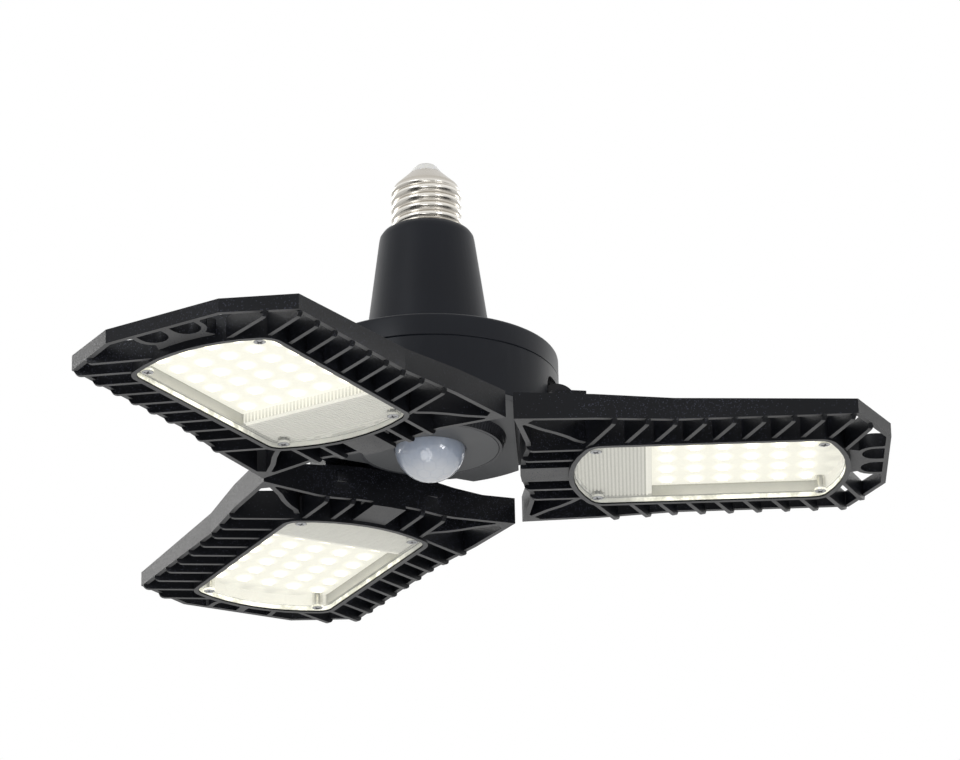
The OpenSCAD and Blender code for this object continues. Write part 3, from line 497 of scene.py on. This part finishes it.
def contactMetal():
    f = Finish("tinnedContact")
    lump = f.noise(contact["lumpScale"], detail=3.0)
    return f.done(f.shade({"Base Color": f.mottle(lump, contact["tint"], contact["dull"]), "Metallic": 1.0,
                           "Roughness": f.spread(lump, *contact["roughness"]),
                           "Normal": f.bump(lump, contact["relief"])}))


paint(refined("centre_contact", contact["edge"], steps=3), contactMetal())
print("screw base ready")


hub = {"tint": (0.0085, 0.0098, 0.0135), "lift": 1.35, "smearScale": 38.0, "smearShare": 0.6,
       "dust": (0.22, 0.22, 0.22), "dustScale": 700.0, "dustSize": (0.05, 0.10), "dustRarity": (0.985, 0.99),
       "dustShare": 0.8, "roughness": (0.33, 0.45), "grain": 2600.0, "relief": (0.02, 0.5), "specular": 0.16,
       "edge": 0.35}


# Satin black plastic with faint smears and a few specks of dust
def hubPlastic():
    f = Finish("satinPlastic")
    smear = f.noise(hub["smearScale"], detail=3.0)
    chosen = f.fit(f.part(f.cells(hub["dustScale"], "Color"), "X"), *hub["dustRarity"])
    dust = f.fit(f.cells(hub["dustScale"]), *hub["dustSize"], 1.0, 0.0) * chosen
    plain = f.mottle(smear, hub["tint"], scaled(hub["tint"], hub["lift"]), hub["smearShare"])
    return f.done(f.shade({"Base Color": f.mix(dust * hub["dustShare"], plain, hub["dust"]),
                           "Roughness": f.spread(smear, *hub["roughness"]),
                           "Specular IOR Level": hub["specular"],
                           "Normal": f.bump(f.noise(hub["grain"]), hub["relief"])}))


hubMaterial = hubPlastic()
for node in ("neck_cap", "lower_housing"):
    paint(refined(node, hub["edge"]), hubMaterial)

cover = {"tint": (0.072, 0.074, 0.077), "lift": 1.2, "smearScale": 45.0, "roughness": (0.36, 0.50),
         "grain": 2200.0, "relief": (0.03, 0.6), "specular": 0.4, "edge": 0.15}


def coverPlastic():
    f = Finish("greyPlastic")
    smear = f.noise(cover["smearScale"], detail=3.0)
    tint = f.mottle(smear, cover["tint"], scaled(cover["tint"], cover["lift"]))
    return f.done(f.shade({"Base Color": tint, "Roughness": f.spread(smear, *cover["roughness"]),
                           "Specular IOR Level": cover["specular"],
                           "Normal": f.bump(f.noise(cover["grain"]), cover["relief"])}))


coverMaterial = coverPlastic()
for node in ("bottom_cover", "sensor_plate"):
    paint(refined(node, cover["edge"]), coverMaterial)
print("hub ready")


ring = {"low": -85.5, "high": -81.5, "lowRadius": 26.0, "highRadius": 27.6, "ledge": 23.5, "opening": 24.9,
        "plateHeight": 1.2, "corner": 0.2, "ribs": 120, "ribPoints": 6, "rows": 9, "ribDepth": 0.28,
        "ribFade": 0.2, "ribSwing": 0.9, "tint": (0.020, 0.021, 0.024), "lift": 1.5, "smearScale": 60.0,
        "roughness": (0.26, 0.38), "grain": 1500.0, "relief": (0.03, 0.5)}


# Side of the ring: a cone whose radius waves in and out once for each rib, fading at both rims; its back
# runs in from the high rim, down the ledge, out to the plate's opening and down to the low rim
def buildRing():
    r = ring
    columns = r["ribs"] * r["ribPoints"]
    angle = fullTurn(columns)
    up = np.linspace(0, 1, r["rows"])[:, None]
    lean = r["lowRadius"] + (r["highRadius"] - r["lowRadius"]) * up
    fade = np.clip(np.minimum(up, 1 - up) / r["ribFade"], 0, 1)
    groove = np.clip(0.5 - r["ribSwing"] * np.cos(r["ribs"] * angle), 0, 1)
    side = revolved(lean - r["ribDepth"] * fade * groove, r["low"] + (r["high"] - r["low"]) * up, angle)
    seat = r["low"] + r["plateHeight"]
    back = rounded([(r["highRadius"], r["high"]), (r["ledge"], r["high"]), (r["ledge"], seat),
                    (r["opening"], seat), (r["opening"], r["low"]), (r["lowRadius"], r["low"])],
                   [0, 0, 0, r["corner"]], steps=3)[1:]
    points = np.concatenate([side, revolved(back[:, :1], back[:, 1:], angle)])
    return meshOf("sensorRing", points, ringFaces(len(points), columns), sharp=50)


def ringPlastic():
    f = Finish("ribbedPlastic")
    grain = f.noise(ring["grain"])
    tint = f.mottle(f.noise(ring["smearScale"]), ring["tint"], scaled(ring["tint"], ring["lift"]))
    return f.done(f.shade({"Base Color": tint, "Roughness": f.spread(grain, *ring["roughness"]),
                           "Normal": f.bump(grain, ring["relief"])}))


paint(link(buildRing(), "hub", ["sensor_ring"]), ringPlastic())

# The dome's paler pole is painted light
# A lens field's size and the tilts are angles in radians, and the line's width is a share of a field
dome = {"radius": 12.8, "centre": -84.7, "flange": 14.5, "flangeLow": -84.3, "flangeHigh": -83.3,
        "rows": 56, "columns": 180, "poleTilt": 0.001, "cell": 0.38, "cellsOut": 8, "lineWidth": 0.18,
        "lineDepth": 0.09, "lineFade": 0.2, "tint": (0.345, 0.385, 0.465), "litPoleTint": (0.50, 0.515, 0.545),
        "litPoleFade": (-97.0, -90.0), "lineTint": (0.34, 0.38, 0.46), "lineShare": (0.2, 0.42),
        "hazeScale": 130.0, "hazeShare": 0.06, "roughness": (0.16, 0.24), "relief": (0.03, 0.3),
        "softness": 0.4, "softReach": (0.003, 0.0035, 0.004), "coat": 0.9, "coatRoughness": 0.05}


# Lens fields of the dome: a triangular lattice laid over its flattened surface; each point stores how
# near it is to the border between its field and the next, and the surface dips a little there
def buildDome():
    d = dome
    angle = fullTurn(d["columns"])
    tilt = np.linspace(d["poleTilt"], math.pi / 2, d["rows"])[::-1][:, None]
    flat = np.stack([tilt * np.cos(angle), tilt * np.sin(angle)], -1).reshape(-1, 1, 2)
    steps = np.arange(-d["cellsOut"], d["cellsOut"] + 1)
    i, j = np.meshgrid(steps, steps)
    centres = np.stack([(i + 0.5 * (j % 2)) * d["cell"], j * d["cell"] * math.sqrt(3) / 2], -1)
    near = np.sort(np.linalg.norm(flat - centres.reshape(1, -1, 2), axis=2), axis=1)
    border = np.clip(1 - (near[:, 1] - near[:, 0]) / (d["lineWidth"] * d["cell"]), 0, 1)
    border = border.reshape(d["rows"], d["columns"])
    radius = d["radius"] - d["lineDepth"] * border ** 2 * np.clip((math.pi / 2 - tilt) / d["lineFade"], 0, 1)
    bowl = revolved(radius * np.sin(tilt), d["centre"] - radius * np.cos(tilt), angle)
    foot = np.array([(d["flange"], d["flangeHigh"]), (d["flange"], d["flangeLow"]),
                     (d["radius"], d["flangeLow"])])
    skirt = revolved(foot[:, :1], foot[:, 1:], angle)
    faces = ringFaces(len(foot) + d["rows"], d["columns"])
    mesh = meshOf("sensorDome", np.concatenate([skirt, bowl]), faces, sharp=50)
    store(mesh, "fieldBorder", np.concatenate([np.zeros(len(foot) * d["columns"]), border.ravel()]))
    return mesh


# Milky plastic, made paler towards the pole by painted light, and darker along the borders of the fields
def domePlastic():
    f = Finish("milkyDome")
    border = f.add("ShaderNodeAttribute", {"attribute_name": "fieldBorder"}, output="Fac")
    haze = f.noise(dome["hazeScale"])
    up = f.along(f.part(f.place, "Z"), *dome["litPoleFade"], smooth=True)
    tint = f.mottle(haze, f.mix(up, dome["litPoleTint"], dome["tint"]), white, dome["hazeShare"])
    tint = f.mix(border * f.fit(up, 0.0, 1.0, *dome["lineShare"]), tint, dome["lineTint"])
    return f.done(f.shade({"Base Color": tint, "Roughness": f.spread(haze, *dome["roughness"]),
                           "Subsurface Weight": dome["softness"], "Subsurface Radius": dome["softReach"],
                           "Subsurface Scale": 1.0, "Coat Weight": dome["coat"],
                           "Coat Roughness": dome["coatRoughness"], "Normal": f.bump(haze, dome["relief"])}))


paint(link(buildDome(), "hub", ["sensor_dome"]), domePlastic())
print("sensor ready")


# The coat's lighter copy for the faces on the lens side is painted light, and its flecks are partly painted
# glints
casting = {"tint": (0.0044, 0.0048, 0.0062), "under": (0.074, 0.074, 0.075), "lift": 1.3, "patchScale": 55.0,
           "fleck": (0.045, 0.047, 0.066), "fleckScale": 4200.0, "fleckShare": (0.01, 0.07),
           "fleckEdge": 0.004, "fleckGloss": 0.15, "crowdScale": 26.0, "crowdFrom": (0.42, 0.66),
           "roughness": (0.30, 0.50), "grain": 2100.0, "relief": (0.06, 0.8), "specular": 0.15,
           "underSlope": 0.9, "underHigh": 12.0, "edge": 0.28}


# Black powder coat whose cells are flecks where their random number comes within a share of 1; the flecks
# crowd together in patches. The flecks' lighter colour is partly the coat's own and partly a painted glint of
# its sparkle
def powderCoat(name, plain):
    f = Finish(name)
    grain = f.noise(casting["grain"], detail=3.0, rough=0.6)
    chosen = f.part(f.cells(casting["fleckScale"], "Color"), "X")
    crowd = f.noise(casting["crowdScale"], detail=1.0)
    share = f.fit(crowd, *casting["crowdFrom"], *casting["fleckShare"], smooth=True)
    fleck = f.fit(chosen + share, 1.0, 1.0 + casting["fleckEdge"])
    tint = f.mottle(f.noise(casting["patchScale"]), plain, scaled(plain, casting["lift"]))
    rough = f.spread(grain, *casting["roughness"]) - fleck * casting["fleckGloss"]
    return f.done(f.shade({"Base Color": f.mix(fleck, tint, casting["fleck"]), "Roughness": rough,
                           "Specular IOR Level": casting["specular"],
                           "Normal": f.bump(grain, casting["relief"])}))


# The fins' and rims' faces on the lens side take a copy of the coat a little lighter than the rest: a painted
# reflection of the pale floor below
castingMaterial = powderCoat("powderCoat", casting["tint"])
litUnderMaterial = powderCoat("powderCoatLitUnder", casting["under"])
for p in panels:
    piece = paint(refined(f"heat_sink_{p}", casting["edge"]), castingMaterial)
    slope, level = slopesAndLevels(piece)
    paintSome(piece, litUnderMaterial, (slope < -casting["underSlope"]) & (level < casting["underHigh"]))

hinge = {"tint": (0.006, 0.006, 0.0072), "lift": 1.6, "smearScale": 120.0, "roughness": (0.21, 0.33),
         "orangePeel": 900.0, "relief": (0.04, 0.4), "specular": 0.22, "edge": 0.3}


def hingeCoat():
    f = Finish("glossCoat")
    orange = f.noise(hinge["orangePeel"])
    tint = f.mottle(f.noise(hinge["smearScale"]), hinge["tint"], scaled(hinge["tint"], hinge["lift"]))
    return f.done(f.shade({"Base Color": tint, "Roughness": f.spread(orange, *hinge["roughness"]),
                           "Specular IOR Level": hinge["specular"],
                           "Normal": f.bump(orange, hinge["relief"])}))


hingeMaterial = hingeCoat()
for p in panels:
    paint(refined(f"hinge_bracket_{p}", hinge["edge"]), hingeMaterial)

steel = {"tint": (0.58, 0.585, 0.60), "dull": 0.75, "cloudScale": 300.0, "grime": (0.07, 0.07, 0.065),
         "lineScale": 1400.0, "lineStretch": 12.0, "roughness": (0.24, 0.42), "relief": (0.02, 0.25)}


# Zinc-plated steel with fine level lines, and painted shade where a mesh stores some
def fastenerSteel():
    f = Finish("zincSteel")
    grime = f.add("ShaderNodeAttribute", {"attribute_name": "grime"}, output="Fac")
    stretched = f.work("MULTIPLY", f.place, (1.0, 1.0, steel["lineStretch"]))
    lines = f.noise(steel["lineScale"], detail=3.0, rough=0.6, place=stretched)
    tint = f.mottle(f.noise(steel["cloudScale"]), steel["tint"], scaled(steel["tint"], steel["dull"]))
    return f.done(f.shade({"Base Color": f.mix(grime, tint, steel["grime"]), "Metallic": 1.0,
                           "Roughness": f.spread(lines, *steel["roughness"]),
                           "Normal": f.bump(lines, steel["relief"])}))


oxide = {"tint": (0.022, 0.022, 0.024), "rub": (0.11, 0.11, 0.11), "rubScale": 500.0,
         "rubFrom": (0.55, 0.75), "roughness": (0.34, 0.5), "relief": (0.02, 0.4), "edge": 0.15}


def blackOxide():
    f = Finish("blackOxide")
    rubbed = f.noise(oxide["rubScale"], detail=3.0, rough=0.6)
    tint = f.mix(f.fit(rubbed, *oxide["rubFrom"]), oxide["tint"], oxide["rub"])
    return f.done(f.shade({"Base Color": tint, "Metallic": 1.0,
                           "Roughness": f.spread(rubbed, *oxide["roughness"]),
                           "Normal": f.bump(rubbed, oxide["relief"])}))


steelMaterial = fastenerSteel()
oxideMaterial = blackOxide()
for p in panels:
    for part in ("bracket_screws", "hinge_pin", "hinge_nut", "friction_washers"):
        paint(refined(f"{part}_{p}", oxide["edge"]), oxideMaterial)
paint(nodes["housing_screws"], steelMaterial)

# A crown ring has a share of the recess's outline and a fixed radius, and a rim ring a share of the head's
# radius and a height. Painted shade goes ring by ring, from the middle of the recess to the middle of the
# stem's end, darkest in the recess and round the head's rim. The turns are in radians and the arms' angles in
# degrees
lensScrew = {"along": (59.8, 140.7), "across": 23.0, "headRadius": 2.1, "headHeight": 0.9, "crown": 0.3,
             "stemRadius": 1.05, "length": 9.5, "armLength": 1.3, "armHalf": 0.26, "depth": 0.6,
             "floorShare": 0.75, "crownRings": ((0.7, 0.45), (0.2, 1.35)), "crownEdge": 0.88,
             "rimRings": ((0.97, 0.02), (1.0, 0.2)),
             "grime": (1.0, 1.0, 0.5, 0.0, 0.0, 0.0, 0.6, 0.9, 1.0, 0.0, 0.0, 0.0),
             "firstTurn": 0.4, "turnEach": 0.55, "turnPanel": 0.3, "armAngles": (4, 20, 28, 36)}


# Domed screw heads with a cross recess, each stopped at its own angle. The recess's outline from the centre
# is the arm's length over the cosine near an arm's axis, and its half width over the sine beside it. A ring
# of points has a radius and a height over the lens faces, or None on the crown, which bulges below them
def buildLensScrews(panel):
    s = lensScrew
    corner = math.atan2(s["armHalf"], s["armLength"])
    half = np.append(np.radians(s["armAngles"]), corner)
    arm = np.sort(np.concatenate([half, -half, [-math.pi / 4]]))
    angle = (arm[None, :] + np.arange(4)[:, None] * math.pi / 2).ravel()
    away = np.abs(np.tile(arm, 4))
    star = np.where(away <= corner, s["armLength"] / np.cos(away),
                    s["armHalf"] / np.sin(np.maximum(away, corner)))
    middle = 0 * star
    head, stem = middle + s["headRadius"], middle + s["stemRadius"]
    rings = [(middle, s["depth"]), (s["floorShare"] * star, s["depth"]), (star, None)]
    rings += [(share * star + more, None) for share, more in s["crownRings"]]
    rings += [(s["crownEdge"] * head, None)]
    rings += [(share * head, height) for share, height in s["rimRings"]]
    rings += [(head, s["headHeight"]), (stem, s["headHeight"]), (stem, s["length"]), (middle, s["length"])]
    points, faces, grime = [], [], []
    for k, (x, side) in enumerate((x, side) for x in s["along"] for side in (-1, 1)):
        turned = angle + s["firstTurn"] + s["turnEach"] * k + s["turnPanel"] * panel
        faces += ringFaces(len(rings), len(star), k * len(rings) * len(star))
        for (radius, height), shadeLevel in zip(rings, s["grime"]):
            level = -s["crown"] * (1 - (radius / head) ** 2) if height is None else height
            points.append(revolved(radius, level, turned) + (x, side * s["across"], 0))
            grime.append(np.full(len(star), shadeLevel))
    mesh = meshOf(f"lensScrews{panel}", ontoPanel(np.concatenate(points), panel), faces, sharp=40)
    store(mesh, "grime", np.concatenate(grime))
    return mesh


for p in panels:
    paint(link(buildLensScrews(p), f"panel_{p}", [f"lens_screws_{p}"]), steelMaterial)
print("casting and hinges ready")


lens = {"tint": (0.975, 0.97, 0.945), "gloss": (0.8, 0.83, 0.85), "roughness": 0.05, "index": 1.46,
        "shine": 0.6, "haze": (0.018, 0.042), "hazeScale": 400.0, "waveScale": 60.0, "relief": (0.15, 0.15),
        "edge": 0.2}


# Clear plastic: see-through, with gloss and a slight haze where a face is seen from its outer side
def lensPlastic():
    f = Finish("clearLens")
    clear = f.add("ShaderNodeBsdfTransparent", {}, {"Color": colour(*lens["tint"])})
    gloss = f.shade({"Base Color": colour(*lens["gloss"]), "Roughness": lens["roughness"],
                     "Normal": f.bump(f.noise(lens["waveScale"]), lens["relief"])})
    outer = 1.0 - f.add("ShaderNodeNewGeometry", output="Backfacing")
    facing = f.add("ShaderNodeFresnel", {}, {"IOR": lens["index"]})
    haze = f.spread(f.noise(lens["hazeScale"], detail=3.0), *lens["haze"])
    share = (facing * lens["shine"] + haze) * outer
    return f.done(f.add("ShaderNodeMixShader", {}, {0: share, 1: clear, 2: gloss}))


litEdge = {"tint": (0.5, 0.5, 0.45), "second": (0.8, 0.8, 0.76), "roughness": 0.2, "power": 0.85,
           "lit": (1.0, 0.99, 0.86), "dim": (0.22, 0.215, 0.16), "dull": (0.03, 0.03, 0.03),
           "streakScale": 120.0, "streakFrom": (0.38, 0.62), "litFrom": (66, 84),
           "slope": 0.5, "levels": (0.3, 1.5)}


# Rim of the lens, which carries the chips' light in broken streaks and stays dull round the wiring
def lensEdge(panel):
    f = Finish(f"litEdge{panel}")
    streak = f.noise(litEdge["streakScale"], detail=4.0, rough=0.7)
    near = f.along(f.part(panelPlace(f, panel), "X"), *litEdge["litFrom"], smooth=True)
    lit = f.mix(f.fit(streak, *litEdge["streakFrom"], smooth=True), litEdge["dim"], litEdge["lit"])
    lit = f.mix(near, litEdge["dull"], lit)
    return f.done(f.shade({"Base Color": f.mix(streak, litEdge["tint"], litEdge["second"]),
                           "Roughness": litEdge["roughness"], "Emission Color": lit,
                           "Emission Strength": litEdge["power"]}))


# The lens's side faces, but not those of its screw posts, take the lit edge
lensMaterial = lensPlastic()
low, high = litEdge["levels"]
for p in panels:
    piece = paint(refined(f"lens_cover_{p}", lens["edge"]), lensMaterial)
    slope, level = slopesAndLevels(piece)
    paintSome(piece, lensEdge(p), (np.abs(slope) < litEdge["slope"]) & (low < level) & (level < high))

# The chips' light and their places on a panel, from the lamp's axis
glow = {"warm": (1.0, 0.985, 0.92), "firstColumn": 85.0, "columnPitch": 10.14, "rowPitch": 10.5}


# Distance to the middle of the nearest chip
def chipDistance(f, x, y):
    dx = f.work("PINGPONG", x - glow["firstColumn"] * mm, glow["columnPitch"] / 2 * mm)
    dy = f.work("PINGPONG", y, glow["rowPitch"] / 2 * mm)
    return f.length(f.add("ShaderNodeCombineXYZ", {}, {"X": dx, "Y": dy}))


lightBoard = {"tint": (0.70, 0.70, 0.67), "second": (0.74, 0.74, 0.71), "grain": 1500.0,
              "relief": (0.02, 0.4), "roughness": 0.5, "glow": (0.68, 0.42), "halo": (1.6, 4.6),
              "tip": (138, 146), "tipShare": 0.45}


# White board that the chips light: brightest round each chip, dimmer between them and at the tip
def boardPaint(panel):
    look = lightBoard
    f = Finish(f"litBoard{panel}")
    place = panelPlace(f, panel)
    x, y = f.part(place, "X"), f.part(place, "Y")
    light = f.along(chipDistance(f, x, y), *look["halo"], *look["glow"], smooth=True)
    light = light * f.along(x, *look["tip"], 1.0, look["tipShare"], smooth=True)
    grain = f.noise(look["grain"])
    return f.done(f.shade({"Base Color": f.mottle(grain, look["tint"], look["second"]),
                           "Roughness": look["roughness"],
                           "Emission Color": f.mix(light, black, glow["warm"]), "Emission Strength": 1.0,
                           "Normal": f.bump(grain, look["relief"])}))


# The frame's darker strips along its sides and its darker lines over the cover's ribs are painted shade
# Covered, wiringRise, lit, wall, stepFrom and stepTo are measured from the end of the wiring cover, coverEnd
lightFrame = {
    "tint": (0.72, 0.72, 0.71), "second": (0.76, 0.76, 0.75), "grain": 1200.0, "relief": (0.02, 0.4),
    "roughness": 0.42, "shadeTint": (0.30, 0.30, 0.26), "shadeDim": 0.8, "glow": 0.25,
    "coverEnd": 79.5, "covered": (-1.0, -2.0), "lit": (-2.3, -1.9),
    "wiringGlow": 0.07, "wiringTint": (1.0, 0.995, 0.99), "wiringRise": (-26.0, 0.0, 0.7, 1.2),
    "wall": (-0.15, -0.05), "wallFade": (92.0, 84.0), "wallShade": (5.6, 2.6, 0.2, 0.6),
    "wallRibPitch": 1.45, "wallRibEdge": (0.15, 0.5),
    "stepFrom": (-2.7, -2.5), "stepTo": (-2.0, -2.2), "stepShade": 0.5,
    "firstRib": 56.2, "ribPitch": 1.35, "ribEdge": (0.3, 0.5), "ribShadeShare": 0.4,
    "ribShadeTint": (0.34, 0.34, 0.32), "strip": (26.2, 26.6), "stripDim": 0.85, "stripShadeShare": 0.6,
    "stripDrop": (5.6, 2.4), "stripShadeTop": (0.15, 0.15, 0.13), "stripShadeFoot": (0.30, 0.30, 0.28),
    "seam": (5.3, 5.6)}


# White frame: ribbed and hardly lit over the wiring, lit beside the chips, with fine upright ribs in its end
# wall drawn in painted shade, painted shade over the cover's ribs, and strips along its sides darkened by
# painted shade, more so further from the lens
def framePaint(panel):
    look = lightFrame
    f = Finish(f"litFrame{panel}")
    place = panelPlace(f, panel)
    x, y, z = (f.part(place, axis) for axis in "XYZ")
    fromEnd = x - look["coverEnd"] * mm
    covered = f.along(fromEnd, *look["covered"])
    strip = f.along(f.work("ABSOLUTE", y), *look["strip"])

    wallRib = f.work("PINGPONG", y, look["wallRibPitch"] / 2 * mm)
    wallRib = f.along(wallRib, *look["wallRibEdge"], smooth=True)
    wall = f.along(fromEnd, *look["wall"]) * f.along(x, *look["wallFade"])
    step = f.along(fromEnd, *look["stepFrom"]) * look["stepShade"] * f.along(fromEnd, *look["stepTo"])
    shade = f.work("MAXIMUM", wall * wallRib * f.along(z, *look["wallShade"]), step)
    seam = f.along(z, *look["seam"]) * strip

    rib = f.work("PINGPONG", x - look["firstRib"] * mm, look["ribPitch"] / 2 * mm)
    rib = f.along(rib, *look["ribEdge"], smooth=True) * covered
    grain = f.noise(look["grain"])
    base = f.mottle(grain, look["tint"], look["second"])
    stripShadeTint = f.mix(f.along(z, *look["stripDrop"]), look["stripShadeTop"], look["stripShadeFoot"])
    base = f.mix(strip * look["stripShadeShare"], base, stripShadeTint)
    base = f.mix(rib * look["ribShadeShare"], base, look["ribShadeTint"])
    base = f.mix(f.work("MAXIMUM", shade, seam), base, look["shadeTint"])

    chips = f.along(fromEnd, *look["lit"]) * (1.0 - strip * look["stripDim"]) * look["glow"]
    beside = f.mix(chips * (1.0 - shade * look["shadeDim"]), black, glow["warm"])
    wiring = covered * look["wiringGlow"] * f.along(fromEnd, *look["wiringRise"])
    wiring = f.mix(wiring, black, look["wiringTint"])
    return f.done(f.shade({"Base Color": base, "Roughness": look["roughness"],
                           "Emission Color": f.mix(1.0, beside, wiring, "ADD"), "Emission Strength": 1.0,
                           "Normal": f.bump(grain, look["relief"])}))


for p in panels:
    paint(nodes[f"led_board_{p}"], boardPaint(p))
    frameMaterial = framePaint(p)
    paint(nodes[f"reflector_{p}"], frameMaterial)
    paint(nodes[f"lens_gasket_{p}"], frameMaterial)

chip = {"tint": (0.80, 0.75, 0.50), "second": (0.85, 0.80, 0.55), "grain": 2000.0, "roughness": 0.4,
        "spot": (1.0, 1.9), "lit": (1.0, 0.985, 0.9), "rim": (0.62, 0.60, 0.50), "power": 2.4}


# Chips: a round phosphor that glows in a pale yellow body
def chipPaint(panel):
    f = Finish(f"litChips{panel}")
    place = panelPlace(f, panel)
    away = chipDistance(f, f.part(place, "X"), f.part(place, "Y"))
    lit = f.mix(f.along(away, *chip["spot"], smooth=True), chip["lit"], chip["rim"])
    body = f.mix(f.spread(f.noise(chip["grain"])), chip["tint"], chip["second"])
    return f.done(f.shade({"Base Color": body, "Roughness": chip["roughness"], "Emission Color": lit,
                           "Emission Strength": chip["power"]}))


for p in panels:
    paint(nodes[f"leds_{p}"], chipPaint(p))
print("lighting ready")


circuit = {
    "sensor_board": {"name": "greenBoard", "tint": (0.02, 0.13, 0.055), "second": (0.03, 0.20, 0.08),
                     "scale": 450.0},
    "driver_board": {"name": "brownBoard", "tint": (0.30, 0.21, 0.09), "second": (0.24, 0.168, 0.072),
                     "scale": 380.0},
    "edge": (0.25, 0.35), "roughness": (0.2, 0.5, 0.25, 0.4), "relief": (0.05, 0.4)}


# Inner board: round patches of one tint on another
def circuitPaint(spec):
    f = Finish(spec["name"])
    trace = f.cells(spec["scale"])
    tint = f.mix(f.fit(trace, *circuit["edge"]), spec["tint"], spec["second"])
    return f.done(f.shade({"Base Color": tint, "Roughness": f.fit(trace, *circuit["roughness"]),
                           "Normal": f.bump(trace, circuit["relief"])}))


for node in ("sensor_board", "driver_board"):
    paint(nodes[node], circuitPaint(circuit[node]))
paint(nodes["infrared_element"], steelMaterial)
print("boards ready")
